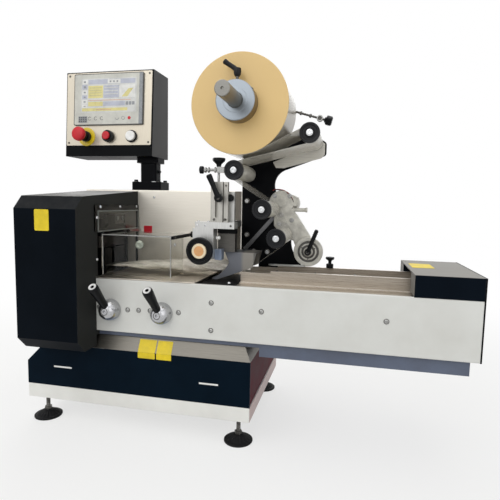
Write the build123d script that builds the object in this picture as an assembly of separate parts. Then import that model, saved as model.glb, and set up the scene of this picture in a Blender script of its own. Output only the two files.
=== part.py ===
from build123d import *
import math
import os

# Horizontal flow wrapper, in millimetres, +Z up.
# While it is drawn, x = 0 is the right side of the sealing housing, y = 0 is the front face
# of the infeed beam and z = 0 is the floor. At the end everything is moved so that the
# origin is at the bottom centre of the machine's box.

# Fits and clearances
touch_gap = 0.3
running_fit = 0.05
web_gap = 0.3
moving_gap = 5.0

# Levelling feet
foot_pad_diameter = 80.0
foot_pad_rim = 5.0
foot_cone_height = 16.0
foot_stud_diameter = 12.0
foot_nut_flats = 19.0
foot_nut_height = 9.0
foot_inset_x = 38.0
foot_inset_y = 37.0

# Base
base_left = -228.0
base_length = 676.0
base_depth = 452.0
base_clearance = 73.0
rail_height = 40.5
cover_height = 126.0
cover_thickness = 4.0
cover_chamfer = 57.0
strip_height = 38.5
strip_lean = 20.0
panel_setback = 3.0

# Infeed beam
beam_length = 1003.0
beam_depth = 315.0
beam_height = 150.0
beam_lift = 13.5
beam_panel_thickness = 8.0
beam_panel_radius = 3.0
deck_thickness = 6.0
deck_drop = 6.0
channel_height = 38.0
channel_setback = 14.0
channel_wall = 4.0
channel_end_gap = 18.0
end_plate_thickness = 4.0
end_cover_length = 156.0
end_cover_height = 54.0
end_cover_wall = 3.0
sealing_deck_length = 292.0
sealing_deck_thickness = 3.0
sealing_deck_corner = 18.0

# Product guides and infeed chain
guide_spacing = 125.0
guide_height = 37.0
guide_foot = 14.0
guide_thickness = 3.0
guide_start = 395.0
guide_step = 480.0
guide_step_drop = 7.0
guide_link_x = 508.0
guide_link_length = 112.0
guide_link_width = 22.0
guide_link_thickness = 3.0
guide_link_slot = 80.0
guide_knob_x = 636.0
guide_knob_radius = 12.0
guide_knob_height = 33.0
chain_slot_width = 16.0
chain_width = 10.0
chain_thickness = 7.0
pusher_pitch = 110.0
pusher_height = 24.0
pusher_thickness = 5.0
sprocket_radius = 36.0
sprocket_shaft_radius = 9.0

# Sealing housing
housing_length = 183.5
housing_overhang = 92.4
housing_bottom = 247.5
housing_face_bottom = 281.0
housing_face_top = 633.4
housing_chamfer_back = 32.0
housing_chamfer_up = 34.0
housing_rear_rise = 23.5
housing_wall = 6.0
housing_edge_radius = 2.0
window_thickness = 3.0
window_front = 10.0
window_bottom = 571.0
window_top = 628.0
outlet_width = 140.0
outlet_height = 90.0
chamber_bottom = 372.0

# Sealing jaws
jaw_shaft_x = -62.0
jaw_shaft_diameter = 22.0
jaw_pitch_radius = 34.0
jaw_gap = 1.0
jaw_width = 110.0
jaw_face = 14.0
jaw_hub_radius = 18.0
jaw_plate_thickness = 12.0
jaw_mesh_height = 16.0
jaw_side_gap = 6.0
jaw_plate_width = 80.0
jaw_plate_reach = 46.0
jaw_bridge_rise = 22.0
jaw_bridge_overhang = 14.0
jaw_spring_radius = 15.0
jaw_spring_height = 42.0
jaw_spring_spacing = 40.0
jaw_spring_offset = 18.0

# Rear cabinet
cabinet_gap = 22.5
cabinet_left = -190.0
cabinet_right = 351.0
cabinet_top = 695.5
cabinet_rear_gap = 4.0
cabinet_edge_radius = 3.0

# Control panel
panel_width = 310.0
panel_height = 274.0
panel_depth = 130.0
panel_left = -249.0
panel_forward = 24.0
panel_bottom = 803.0
panel_lean = 17.0
panel_lip = 31.0
fascia_thickness = 3.0
fascia_margin = 4.0
touch_width = 246.0
touch_thickness = 6.0
touch_offset_x = 33.0
touch_offset_top = 9.0
button_band_height = 68.5
pedestal_flange_width = 102.0
pedestal_flange_depth = 76.0
pedestal_flange_height = 27.0
pedestal_neck_width = 56.0
pedestal_neck_depth = 42.0
pedestal_neck_corner = 6.0
pedestal_top_width = 76.0
pedestal_top_depth = 58.0
pedestal_top_height = 18.0
pedestal_x = 27.0
pedestal_inset = 41.0

# Operator buttons on the control panel
e_stop_ring_diameter = 60.0
e_stop_ring_thickness = 3.0
e_stop_diameter = 42.0
e_stop_stem = 36.0
e_stop_stem_diameter = 26.0
e_stop_collar_wall = 4.0
e_stop_collar_height = 14.0
button_ring_diameter = 38.0
button_ring_wall = 2.5
button_ring_thickness = 7.0
stop_diameter = 22.0
stop_height = 18.0
start_diameter = 32.0
start_height = 7.0
button_row_height = 32.0
e_stop_x = 79.0
stop_x = 159.0
start_x = 239.0
button_travel = 4.0

# Film reel
reel_x = 385.0
reel_z = 924.0
film_width = 160.0
roll_radius = 135.0
core_radius = 45.0
collar_radius = 52.5
collar_length = 45.0
collar_spigot = 12.0
rear_collar_length = 15.0
shaft_radius = 20.0
shaft_end_radius = 19.5
shaft_groove_radius = 18.5
shaft_groove_width = 2.0
shaft_chamfer = 1.5
shaft_overhang = 120.0
reel_boss_radius = 34.0
reel_boss_length = 30.0

# Brake screw of the reel
brake_lug_x = 446.0
brake_lug_z = 955.0
brake_lug_radius = 8.0
brake_rod_radius = 4.0
brake_joint_radius = 9.0
brake_knob_radius = 13.0
brake_knob_length = 20.0
brake_knob_x = 619.0
brake_knob_z = 905.0

# Clamp lever of the reel
reel_lever_turn = -7.0
reel_lever_reach = (-33.0, -4.0, 28.0)
reel_lever_offset = 12.0
reel_lever_foot_radius = 4.0
reel_lever_hub_radius = 10.0
reel_lever_arm_radius = 7.0

# Idler rollers
roller_cap_radius = 27.0
roller_tube_radius = 23.0
roller_cap_length = 12.0
roller_axle_radius = 6.0
roller_overhang = 14.5
roller_places = {
    "idler_roller_1": (577.5, 843.5),
    "idler_roller_2": (376.0, 747.0),
    "idler_roller_3": (455.5, 642.0),
    "idler_roller_4": (496.5, 565.0),
}
film_thickness = 0.8

# Film support plate
plate_gap = 24.5
plate_shoulder_drop = 120.0
plate_thickness = 10.0
plate_left = 354.5
plate_foot_left = 412.0
plate_foot_right = 544.0
plate_foot_depth = 34.0
plate_foot_rise = 5.0
plate_eye_radius = 60.0
plate_flare_width = 31.0
plate_flare_height = 70.0
plate_flare_bow = 9.0
plate_neck_x = 460.0
plate_neck_z = 700.0
plate_neck_reach = 34.0
plate_neck_rise = 64.0
plate_tip_reach = 34.0
plate_tip_drop = 37.0
plate_tip_rise = 22.0
plate_tip_corner = 10.0

# Feed gearbox with its tension disc
gear_x = 482.0
gear_z = 662.0
gear_radius = 38.0
gear_edge = 3.0
gear_boss_radius = 14.0
gear_boss_height = 3.0
gear_arm_left = 22.0
gear_arm_right = 50.0
gear_arm_lip = 13.0
gear_terminal_left = 16.0
gear_terminal_width = 36.0
gear_terminal_height = 26.0
gear_stud_radius = 8.0
gear_stud_drop = 20.0
gear_stud_reach = 79.0
gear_stud_cap = 5.0
gear_motor_offset = 24.0
gear_motor_radius = 26.0
gear_motor_length = 58.0
roller_end_gap = 8.0
roller_spacer = 4.0
roller_spacer_wall = 6.0
disc_x = 569.5
disc_z = 516.5
disc_radius = 41.5
disc_thickness = 14.0
disc_gap = 1.0
disc_rim = 10.0
disc_recess = 2.0
disc_boss_radius = 14.0
disc_boss_height = 6.0
disc_pin_radius = 8.0
disc_lever_length = 74.0
disc_lever_angle = 21.0
disc_lever_radius = 6.0
disc_lever_hub_radius = 10.0
disc_lever_hub_length = 16.0

# Forming box and its adjuster
former_x = 311.0
former_length = 123.5
former_width = 86.0
former_height = 74.0
former_sheet = 2.0
former_roof_start = 31.0
former_post_width = 12.0
former_post_depth = 22.0
former_post_inset = 14.0
former_mouth_inset = 11.0
former_mouth_height = 32.0
former_belly_length = 87.5
former_belly_height = 22.0
former_heel_length = 4.5
former_nose_reach = 8.0
former_nose_drop = 4.5
former_shoulder_length = 43.5
former_shoulder_height = 43.5
former_shoulder_bow = 5.0
film_lead_height = 44.0
film_lead_gap = 3.0
adjuster_front = 60.0
adjuster_beam_x = 270.0
adjuster_beam_length = 112.0
adjuster_beam_bottom = 587.0
adjuster_beam_height = 18.0
adjuster_beam_depth = 40.0
adjuster_arm_overlap = 20.0
adjuster_bore_floor = 8.0
adjuster_column_x = 357.0
adjuster_column_width = 18.0
adjuster_column_depth = 14.0
adjuster_column_height = 84.0
slide_left = 314.5
slide_width = 48.0
slide_height = 110.0
slide_thickness = 14.0
slide_slot_width = 8.0
slide_slot_length = 70.0
screw_block_left = 263.0
screw_block_width = 60.0
screw_block_height = 84.0
tracking_knob_radius = 10.0
tracking_knob_length = 11.0
tracking_reach = 14.5
tracking_nut_depth = 11.0
tracking_nut_height = 16.0
height_screw_radius = 3.5
wing_knob_radius = 17.0
wing_knob_height = 32.0
handwheel_x = 294.0
handwheel_z = 527.0
handwheel_radius = 37.4
handwheel_thickness = 16.0
handwheel_front = 22.0
handwheel_shaft_radius = 6.0
handwheel_shaft_seat = 28.0
handwheel_cap_radius = 20.0
handwheel_cap_step = 3.0
handwheel_rim = 8.0
handwheel_edge = 4.0
handwheel_hub_radius = 14.0
handwheel_hub_length = 12.0
slide_lever_inset = 27.5
slide_lever_height = 66.0
slide_lever_reach = (-27.0, -6.0, 62.0)
slide_lever_radius = 6.0
slide_lever_hub_radius = 12.0
slide_lever_hub_length = 26.0
height_screw_inset = 20.0

# Clear lifting guard
guard_left = 17.0
guard_right = 222.0
guard_front = 4.0
guard_depth = 150.0
guard_height = 113.5
guard_thickness = 4.0
guard_lift = 8.0
guard_outlet = 58.0
guard_arm_width = 5.0
guard_eye_radius = 9.0
guard_rod_radius = 4.0
guard_lug_thickness = 6.0
guard_knob_x = 137.0
guard_knob_drop = 25.0

# Front levers
lever_places = {"left": 46.0, "right": 199.0}
lever_z = 356.0
lever_hub_radius = 30.0
lever_hub_height = 38.0
lever_grip_radius_end = 14.0
lever_grip_radius_root = 10.5
lever_grip_length = 88.0
lever_grip_start = 18.0
lever_tilt_out = 41.0
lever_turn = 3.0

# Derived levels
rail_top = base_clearance + rail_height
cover_top = rail_top + cover_height
strip_top = cover_top + strip_height
beam_bottom = strip_top + beam_lift
beam_top = beam_bottom + beam_height
deck_top = beam_top - deck_drop
deck_bottom = deck_top - deck_thickness
sealing_deck_top = beam_top + sealing_deck_thickness
base_right = base_left + base_length
beam_centre = beam_depth / 2
guard_top = sealing_deck_top + guard_lift + guard_height
housing_top_front = housing_face_top + housing_chamfer_up
housing_top_rear = housing_top_front + housing_rear_rise
film_front = beam_centre - film_width / 2
film_back = beam_centre + film_width / 2
cabinet_front = film_back + cabinet_gap
cabinet_back = base_depth - cabinet_rear_gap
plate_front = film_back + plate_gap
gear_front = film_back + roller_end_gap + touch_gap
disc_front = gear_front - disc_gap - disc_thickness
roller_front = film_front - roller_overhang
pedestal_y = cabinet_front + pedestal_inset
panel_front = cabinet_front - panel_forward
adjuster_beam_right = adjuster_beam_x + adjuster_beam_length


def block(x0, x1, y0, y1, z0, z1):
    """Rectangular block between two corners."""
    solid = Box(x1 - x0, y1 - y0, z1 - z0)
    return Pos((x0 + x1) / 2, (y0 + y1) / 2, (z0 + z1) / 2) * solid


def rod_y(x, z, radius, y0, y1):
    """Round bar that runs front to back."""
    bar = Cylinder(radius, y1 - y0, rotation=(90, 0, 0))
    return Pos(x, (y0 + y1) / 2, z) * bar


def rod_x(y, z, radius, x0, x1):
    """Round bar that runs left to right."""
    bar = Cylinder(radius, x1 - x0, rotation=(0, 90, 0))
    return Pos((x0 + x1) / 2, y, z) * bar


def rod_z(x, y, radius, z0, z1):
    """Round upright bar."""
    return Pos(x, y, (z0 + z1) / 2) * Cylinder(radius, z1 - z0)


def prism_y(points, y0, y1):
    """Outline in X and Z, carried from y0 back to y1."""
    face = Plane.XZ * make_face(Polyline(*points, close=True))
    return Pos(0, y0, 0) * extrude(face, amount=y1 - y0, dir=(0, 1, 0))


def prism_x(points, x0, x1):
    """Outline in Y and Z, carried from x0 right to x1."""
    face = Plane.YZ * make_face(Polyline(*points, close=True))
    return Pos(x0, 0, 0) * extrude(face, amount=x1 - x0, dir=(1, 0, 0))


def turned_y(x, z, profile):
    """Turned piece on a front-to-back axis; profile holds (radius, y) points."""
    face = make_face(Polyline(*profile, close=True))
    solid = revolve(face, Axis.Y)
    return Pos(x, 0, z) * solid


def turned_z(x, y, profile):
    """Turned piece on an upright axis; profile holds (radius, z) points."""
    face = Plane.XZ * make_face(Polyline(*profile, close=True))
    return Pos(x, y, 0) * revolve(face, Axis.Z)


# Base


def levelling_foot(x, y):
    cone_top = foot_pad_rim + foot_cone_height
    pad_radius = foot_pad_diameter / 2
    stud_radius = foot_stud_diameter / 2
    profile = [
        (0, 0),
        (pad_radius, 0),
        (pad_radius, foot_pad_rim),
        (stud_radius * 2, cone_top),
        (stud_radius, cone_top),
        (stud_radius, base_clearance),
        (0, base_clearance),
    ]
    nut = RegularPolygon(foot_nut_flats / 2, 6, major_radius=False)
    nut = extrude(nut, amount=foot_nut_height)
    return turned_z(x, y, profile) + Pos(x, y, cone_top) * nut


def levelling_feet():
    xs = (base_left + foot_inset_x, base_right - foot_inset_x)
    ys = (foot_inset_y, base_depth - foot_inset_y)
    return [levelling_foot(x, y) for x in xs for y in ys]


def base_outline(inset):
    """Front outline of the plinth, with its cut upper left corner."""
    low = rail_top
    return [
        (base_left + inset, low),
        (base_right - inset, low),
        (base_right - inset, cover_top),
        (base_left + cover_chamfer + inset, cover_top),
        (base_left + inset, cover_top - cover_chamfer),
    ]


def base_rail():
    rail = block(base_left, base_right, 0, base_depth, base_clearance, rail_top)
    return fillet(rail.edges().filter_by(Axis.Z), 3)


def base_plinth():
    return prism_y(base_outline(panel_setback), cover_thickness, base_depth - panel_setback)


def base_front_cover():
    return prism_y(base_outline(0), 0, cover_thickness)


def base_strip():
    left = base_left + cover_chamfer
    lean = math.degrees(math.atan2(strip_lean, strip_height))
    width = base_right - left
    outline = Rectangle(width, base_depth)
    cap = extrude(outline, amount=strip_height, taper=lean)
    return Pos(left + width / 2, base_depth / 2, cover_top) * cap


# Infeed beam


def beam_front_panel():
    panel = block(0, beam_length, 0, beam_panel_thickness, beam_bottom, beam_top)
    return fillet(panel.edges().filter_by(Axis.X).group_by(Axis.Y)[0], beam_panel_radius)


def beam_rear_panel():
    back = beam_depth - beam_panel_thickness
    panel = block(cabinet_right + touch_gap, beam_length, back, beam_depth, beam_bottom, beam_top)
    return fillet(panel.edges().filter_by(Axis.X).group_by(Axis.Y)[-1], beam_panel_radius)


def beam_deck():
    front = beam_panel_thickness
    back = beam_depth - beam_panel_thickness
    right = beam_length
    low = deck_bottom
    deck = block(cabinet_right + touch_gap, right, front, back, low, deck_top)
    deck += block(0, cabinet_right + touch_gap, front, cabinet_front, low, deck_top)
    slot_left = guide_start - chain_slot_width
    slot_right = beam_length - end_cover_length + chain_slot_width
    slot = SlotOverall(slot_right - slot_left, chain_slot_width)
    slot = extrude(slot, amount=deck_thickness * 3, both=True)
    return deck - Pos((slot_left + slot_right) / 2, beam_centre, deck_top) * slot


def sealing_deck():
    plate = block(
        0, sealing_deck_length, 0, cabinet_front, beam_top, sealing_deck_top
    )
    corner = plate.edges().filter_by(Axis.Z).group_by(Axis.Y)[0].sort_by(Axis.X)[-1]
    return fillet(corner, sealing_deck_corner)


def beam_channel():
    left = touch_gap
    right = beam_length - channel_end_gap
    back = beam_depth - channel_setback
    bearer = block(left, right, channel_setback, cabinet_front - touch_gap, strip_top, beam_bottom)
    bearer = bearer - block(
        base_right + strip_lean, right, channel_setback, back, strip_top, beam_bottom
    )
    start = base_right + strip_lean
    low = beam_bottom - channel_height
    trough = block(start, right, channel_setback, back, low, beam_bottom)
    hollow = block(
        start - 1,
        right - channel_wall,
        channel_setback + channel_wall,
        back - channel_wall,
        low + channel_wall,
        beam_bottom + 1,
    )
    return bearer + (trough - hollow)


def beam_end_plate():
    low = beam_bottom
    high = beam_top + end_cover_height
    return block(
        beam_length, beam_length + end_plate_thickness, 0, beam_depth, low, high
    )


def infeed_end_cover():
    left = beam_length - end_cover_length
    cover = block(left, beam_length, 0, beam_depth, beam_top, beam_top + end_cover_height)
    cover = fillet(cover.edges().filter_by(Axis.X).group_by(Axis.Z)[-1], 2.5)
    room = block(
        left - 1,
        beam_length - end_cover_wall,
        beam_centre - guide_spacing / 2 - guide_thickness - guide_foot - 4,
        beam_centre + guide_spacing / 2 + guide_thickness + guide_foot + 4,
        beam_top - 1,
        beam_top + end_cover_height - end_cover_wall,
    )
    return cover - room


def infeed_chain():
    """Roller chain loop with upright pushers, set at an even pitch."""
    left = guide_start + sprocket_radius
    right = beam_length - end_cover_length - sprocket_radius
    top = deck_top + chain_thickness / 2 - 1
    centre_z = top - sprocket_radius
    outer = SlotCenterToCenter(right - left, 2 * sprocket_radius + chain_thickness)
    inner = SlotCenterToCenter(right - left, 2 * sprocket_radius - chain_thickness)
    loop = extrude(Plane.XZ * (outer - inner), amount=chain_width / 2, both=True)
    loop = Pos((left + right) / 2, beam_centre, centre_z) * loop
    run_top = top + chain_thickness / 2
    count = int((right - left) // pusher_pitch)
    for index in range(count):
        x = left + pusher_pitch * (index + 0.5)
        pusher = block(
            x,
            x + pusher_thickness,
            beam_centre - chain_width / 2,
            beam_centre + chain_width / 2,
            run_top - chain_thickness / 2,
            run_top + pusher_height,
        )
        loop += pusher
    return loop


def chain_sprockets():
    """Plain sprocket discs at both ends of the chain, on shafts across the beam."""
    radius = sprocket_radius - chain_thickness / 2 - running_fit
    centre_z = deck_top + chain_thickness / 2 - 1 - sprocket_radius
    right = beam_length - end_cover_length - sprocket_radius
    pieces = []
    for x in (guide_start + sprocket_radius, right):
        disc = rod_y(x, centre_z, radius, beam_centre - chain_width / 2, beam_centre + chain_width / 2)
        front = beam_panel_thickness + touch_gap
        back = beam_depth - beam_panel_thickness - touch_gap
        shaft = rod_y(x, centre_z, sprocket_shaft_radius, front, back)
        pieces.append(disc + shaft)
    return pieces


def side_guide(side):
    """Folded steel guide; side is -1 for the front one and 1 for the rear one."""
    inner = beam_centre + side * guide_spacing / 2
    outer = inner + side * guide_thickness
    foot = outer + side * guide_foot
    low = deck_top
    high = deck_top + guide_height
    right = beam_length - end_cover_length + 20
    points = [
        (inner, low),
        (inner, high),
        (outer + side * 3, high),
        (outer + side * 3, high - guide_thickness),
        (outer, high - guide_thickness),
        (outer, low + guide_thickness),
        (foot, low + guide_thickness),
        (foot, low),
    ]
    guide = prism_x(points, guide_start, right)
    lowered = block(
        guide_start - 1,
        guide_step,
        min(inner, foot) - 1,
        max(inner, foot) + 1,
        high - guide_step_drop,
        high + 1,
    )
    return guide - lowered


def guide_clamp():
    """Slotted link on the rear guide with its clamping knob."""
    low = deck_top + guide_height + touch_gap
    y = beam_centre + guide_spacing / 2 - guide_thickness
    slot = SlotOverall(guide_link_slot, guide_link_width / 3)
    link = SlotOverall(guide_link_length, guide_link_width) - slot
    link = Pos(guide_link_x, y, low) * extrude(link, amount=guide_link_thickness)
    r = guide_knob_radius
    top = low + guide_knob_height
    profile = [
        (0, low),
        (r * 0.4, low),
        (r * 0.4, low + guide_knob_height * 0.2),
        (r * 0.75, low + guide_knob_height * 0.2),
        (r * 0.75, low + guide_knob_height * 0.4),
        (r * 0.42, low + guide_knob_height * 0.5),
        (r * 0.42, low + guide_knob_height * 0.7),
        (r, top - guide_knob_height * 0.2),
        (r, top),
        (0, top),
    ]
    return [link, turned_z(guide_knob_x, y, profile)]


# Sealing housing


def housing_outline():
    front = -housing_overhang
    return [
        (front + housing_chamfer_back, housing_bottom),
        (0, housing_bottom),
        (0, strip_top),
        (cabinet_front, strip_top),
        (cabinet_front, housing_top_rear),
        (front + housing_chamfer_back, housing_top_front),
        (front, housing_face_top),
        (front, housing_face_bottom),
    ]


def sealing_housing():
    body = prism_x(housing_outline(), -housing_length, 0)
    edges = body.edges().filter_by(Axis.X)
    front_edges = [e for e in edges if e.center().Y < -housing_overhang / 2]
    body = fillet(front_edges, housing_edge_radius)
    chamber = block(
        -housing_length + housing_wall,
        -housing_wall,
        window_front - housing_wall,
        cabinet_front + 1,
        chamber_bottom,
        window_top,
    )
    side_opening = block(
        -housing_wall - 1,
        1,
        window_front,
        cabinet_front - housing_wall,
        sealing_deck_top,
        window_top,
    )
    outlet = block(
        -housing_length - 1,
        -housing_length + housing_wall + 1,
        beam_centre - outlet_width / 2,
        beam_centre + outlet_width / 2,
        sealing_deck_top,
        sealing_deck_top + outlet_height,
    )
    return body - chamber - side_opening - outlet


def housing_window():
    """Clear pane that closes the upper part of the chamber's side opening."""
    back = cabinet_front - touch_gap
    pane = block(0, window_thickness, window_front - 16, back, window_bottom, window_top + 18)
    return fillet(pane.edges().filter_by(Axis.X), 6)


def jaw_height(sign):
    return sealing_deck_top + jaw_mesh_height + sign * (jaw_pitch_radius + jaw_gap / 2)


def jaw(sign):
    """Rotary sealing head: a hub with one long serrated jaw, facing its partner."""
    z = jaw_height(sign)
    y0 = beam_centre - jaw_width / 2
    y1 = beam_centre + jaw_width / 2
    shaft_y0 = jaw_plate_front() - 10
    shaft = rod_y(jaw_shaft_x, z, jaw_shaft_diameter / 2, shaft_y0, cabinet_front - 6)
    hub = rod_y(jaw_shaft_x, z, jaw_hub_radius, y0, y1)
    tip = z - sign * jaw_pitch_radius
    root = z
    low = min(tip, root)
    high = max(tip, root)
    blade = block(jaw_shaft_x - jaw_face / 2, jaw_shaft_x + jaw_face / 2, y0, y1, low, high)
    blade = blade & rod_y(jaw_shaft_x, z, jaw_pitch_radius, y0, y1)
    groove_count = 3
    for index in range(groove_count):
        x = jaw_shaft_x + (index - 1) * jaw_face / groove_count
        groove = block(x - 1, x + 1, y0 - 1, y1 + 1, tip - 1, tip + 1)
        blade -= groove
    return shaft + hub + blade


def jaw_plate_front():
    return beam_centre - jaw_width / 2 - jaw_plate_thickness - jaw_side_gap


def jaw_frame():
    """Two bearing plates that carry the jaw shafts, tied by a bridge with its spring pots."""
    front = jaw_plate_front()
    back = beam_centre + jaw_width / 2 + jaw_side_gap
    depth = jaw_plate_thickness
    x0 = jaw_shaft_x - jaw_plate_width / 2
    x1 = jaw_shaft_x + jaw_plate_width / 2
    high = jaw_height(1) + jaw_plate_reach
    pieces = block(x0, x1, front, front + depth, chamber_bottom, high)
    pieces += block(x0, x1, back, back + depth, chamber_bottom, high)
    bridge_top = high + jaw_bridge_rise
    bridge = [
        (front - jaw_bridge_overhang, high),
        (front + depth, bridge_top),
        (back, bridge_top),
        (back + depth + jaw_bridge_overhang, high),
    ]
    pieces += prism_x(bridge, x0, x1)
    spring_x = jaw_shaft_x + jaw_spring_offset
    for side in (-1, 1):
        y = beam_centre - jaw_spring_offset + side * jaw_spring_spacing / 2
        spring_top = bridge_top + jaw_spring_height
        pieces += rod_z(spring_x, y, jaw_spring_radius, bridge_top, spring_top)
    for sign in (-1, 1):
        bore = rod_y(
            jaw_shaft_x,
            jaw_height(sign),
            jaw_shaft_diameter / 2 + running_fit,
            front - 1,
            back + depth + 1,
        )
        pieces -= bore
    return pieces


def rear_cabinet():
    body = block(cabinet_left, cabinet_right, cabinet_front, cabinet_back, strip_top, cabinet_top)
    return fillet(body.edges().filter_by(Axis.X).group_by(Axis.Z)[-1], cabinet_edge_radius)


# Clear guard


def clear_guard():
    """Clear hood that lifts: front, top and a return on the right side."""
    low = sealing_deck_top + guard_lift
    back = guard_front + guard_depth
    hood = block(guard_left, guard_right, guard_front, back, low, guard_top)
    room = block(
        guard_left - 1,
        guard_right - guard_thickness,
        guard_front + guard_thickness,
        back + 1,
        low - 1,
        guard_top - guard_thickness,
    )
    outlet = block(
        guard_right - guard_thickness - 1,
        guard_right + 1,
        back - guard_outlet,
        back + 1,
        low - 1,
        guard_top - guard_thickness,
    )
    front_edges = hood.edges().group_by(Axis.Y)[0]
    hood = fillet([front_edges.sort_by(Axis.X)[-1], front_edges.sort_by(Axis.Z)[-1]], 3)
    return hood - room - outlet


def guard_arms():
    """Two black arms beside the hood, each with an eye on the hinge rod."""
    eye_y = guard_front + guard_depth + guard_eye_radius
    pieces = []
    for x in (guard_left - guard_arm_width, guard_right):
        arm = block(
            x,
            x + guard_arm_width,
            guard_front + 2,
            eye_y,
            guard_top - guard_eye_radius,
            guard_top,
        )
        eye = rod_x(eye_y, guard_hinge_z(), guard_eye_radius, x, x + guard_arm_width)
        bore = rod_x(eye_y, guard_hinge_z(), guard_rod_radius + running_fit, x - 1, x + 20)
        pieces.append(arm + eye - bore)
    return pieces


def guard_hinge_z():
    return guard_top - guard_eye_radius / 2


def guard_bracket():
    """Hinge rod behind the hood, on two lugs from the cabinet wall."""
    y = guard_front + guard_depth + guard_eye_radius
    z = guard_hinge_z()
    side = guard_arm_width + touch_gap
    left = guard_left - side - guard_lug_thickness
    right = guard_right + side
    rod = rod_x(y, z, guard_rod_radius, left, right + guard_lug_thickness)
    for x in (left, right):
        lug = block(x, x + guard_lug_thickness, y, cabinet_front, z - 7, z + 7)
        rod += lug + rod_x(y, z, 7, x, x + guard_lug_thickness)
    return rod


def guard_knob():
    """Pull knob and a screw head on the hood's front."""
    y = guard_front
    knob = turned_y(
        guard_knob_x,
        guard_top - guard_knob_drop,
        [(0, y), (6, y), (6, y - 6), (12, y - 9), (12, y - 15), (10, y - 17), (0, y - 17)],
    )
    return knob


# Front levers


def lever_direction():
    turn = math.radians(lever_turn)
    tilt = math.radians(lever_tilt_out)
    reach = math.cos(tilt)
    return Vector(-math.sin(turn) * reach, -math.sin(tilt), math.cos(turn) * reach)


def lever_hub(x):
    back = -touch_gap
    front = -lever_hub_height
    profile = [
        (0, back),
        (lever_hub_radius * 0.8, back),
        (lever_hub_radius, back - 6),
        (lever_hub_radius, back - 14),
        (lever_hub_radius * 0.86, back - 24),
        (lever_hub_radius * 0.6, front + 3),
        (lever_hub_radius * 0.45, front),
        (0, front),
    ]
    socket = Cylinder(lever_grip_radius_root + touch_gap, lever_grip_length)
    socket = lever_grip_plane(x) * Pos(0, 0, lever_grip_length / 2 - touch_gap) * socket
    return turned_y(x, lever_z, profile) - socket


def lever_grip_plane(x):
    """Seat of the grip in its hub, looking out along the grip."""
    start = Vector(x, -lever_hub_height / 2, lever_z) + lever_direction() * lever_grip_start
    return Plane(origin=start, z_dir=lever_direction())


def lever_grip(x):
    plane = lever_grip_plane(x)
    profile = [
        (0, 0),
        (lever_grip_radius_root, 0),
        (lever_grip_radius_root, lever_hub_radius - lever_grip_start + 14),
        (lever_grip_radius_end, lever_grip_length - 14),
        (lever_grip_radius_end - 1, lever_grip_length - 4),
        (lever_grip_radius_end - 5, lever_grip_length),
        (0, lever_grip_length),
    ]
    grip = revolve(Plane.XZ * make_face(Polyline(*profile, close=True)), Axis.Z)
    return plane * grip


# Control panel


def panel_plane():
    """Plane of the leaning fascia, at its lower left corner, with z_dir out of the face."""
    lean = math.atan2(panel_lean, panel_height)
    origin = Vector(panel_left, panel_front + panel_lip * math.tan(lean), panel_bottom + panel_lip)
    return Plane(origin=origin, x_dir=(1, 0, 0), z_dir=(0, -math.cos(lean), math.sin(lean)))


def hmi_box():
    points = [
        (panel_front, panel_bottom),
        (panel_front + panel_depth, panel_bottom),
        (panel_front + panel_depth, panel_bottom + panel_height + 2),
        (panel_front + panel_lean, panel_bottom + panel_height),
    ]
    return prism_x(points, panel_left, panel_left + panel_width)


def fascia_size():
    rise = (panel_height - panel_lip) / math.cos(math.atan2(panel_lean, panel_height))
    return panel_width - 2 * fascia_margin, rise - 2 * fascia_margin


def hmi_fascia():
    width, height = fascia_size()
    plate = Pos(width / 2 + fascia_margin, height / 2 + fascia_margin) * Rectangle(width, height)
    plate = fillet(plate.vertices(), 4)
    return panel_plane() * extrude(plate, amount=fascia_thickness)


def hmi_screen():
    width, height = fascia_size()
    touch_height = height + 2 * fascia_margin - touch_offset_top - button_band_height
    x = touch_offset_x + touch_width / 2
    y = button_band_height + touch_height / 2
    frame = Pos(x, y) * RectangleRounded(touch_width, touch_height, 5)
    return panel_plane() * Pos(0, 0, fascia_thickness) * extrude(frame, amount=touch_thickness)


def on_fascia(x, profile):
    """Turned piece that stands out of the fascia in the button row."""
    solid = revolve(Plane.XZ * make_face(Polyline(*profile, close=True)), Axis.Z)
    return panel_plane() * Pos(x, button_row_height, fascia_thickness) * solid


def button_collars():
    """Rings on the fascia, each with a bore that guides its button."""
    ring = e_stop_ring_thickness
    outer = e_stop_ring_diameter / 2
    bore = e_stop_stem_diameter / 2 + touch_gap
    neck = bore + e_stop_collar_wall
    profile = [
        (bore, 0),
        (outer, 0),
        (outer, ring),
        (neck, ring),
        (neck, e_stop_collar_height),
        (bore, e_stop_collar_height),
    ]
    pieces = [on_fascia(e_stop_x, profile)]
    for x, diameter in ((stop_x, stop_diameter), (start_x, start_diameter)):
        bore = diameter / 2 + touch_gap
        outer = max(button_ring_diameter / 2, bore + button_ring_wall)
        tall = button_ring_thickness
        profile = [(bore, 0), (outer, 0), (outer, tall - 1), (outer - 1, tall), (bore, tall)]
        pieces.append(on_fascia(x, profile))
    return pieces


def e_stop_button():
    base = button_travel + touch_gap
    r = e_stop_diameter / 2
    stem = e_stop_stem_diameter / 2
    head = e_stop_stem
    profile = [
        (0, base),
        (stem, base),
        (stem, head - 8),
        (r, head - 2),
        (r, head + 5),
        (r * 0.85, head + 10),
        (0, head + 12),
    ]
    return on_fascia(e_stop_x, profile)


def push_button(x, diameter, height):
    base = button_travel + touch_gap
    r = diameter / 2
    top = button_ring_thickness + height
    return on_fascia(x, [(0, base), (r, base), (r, top - 2), (r - 2, top), (0, top)])


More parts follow.
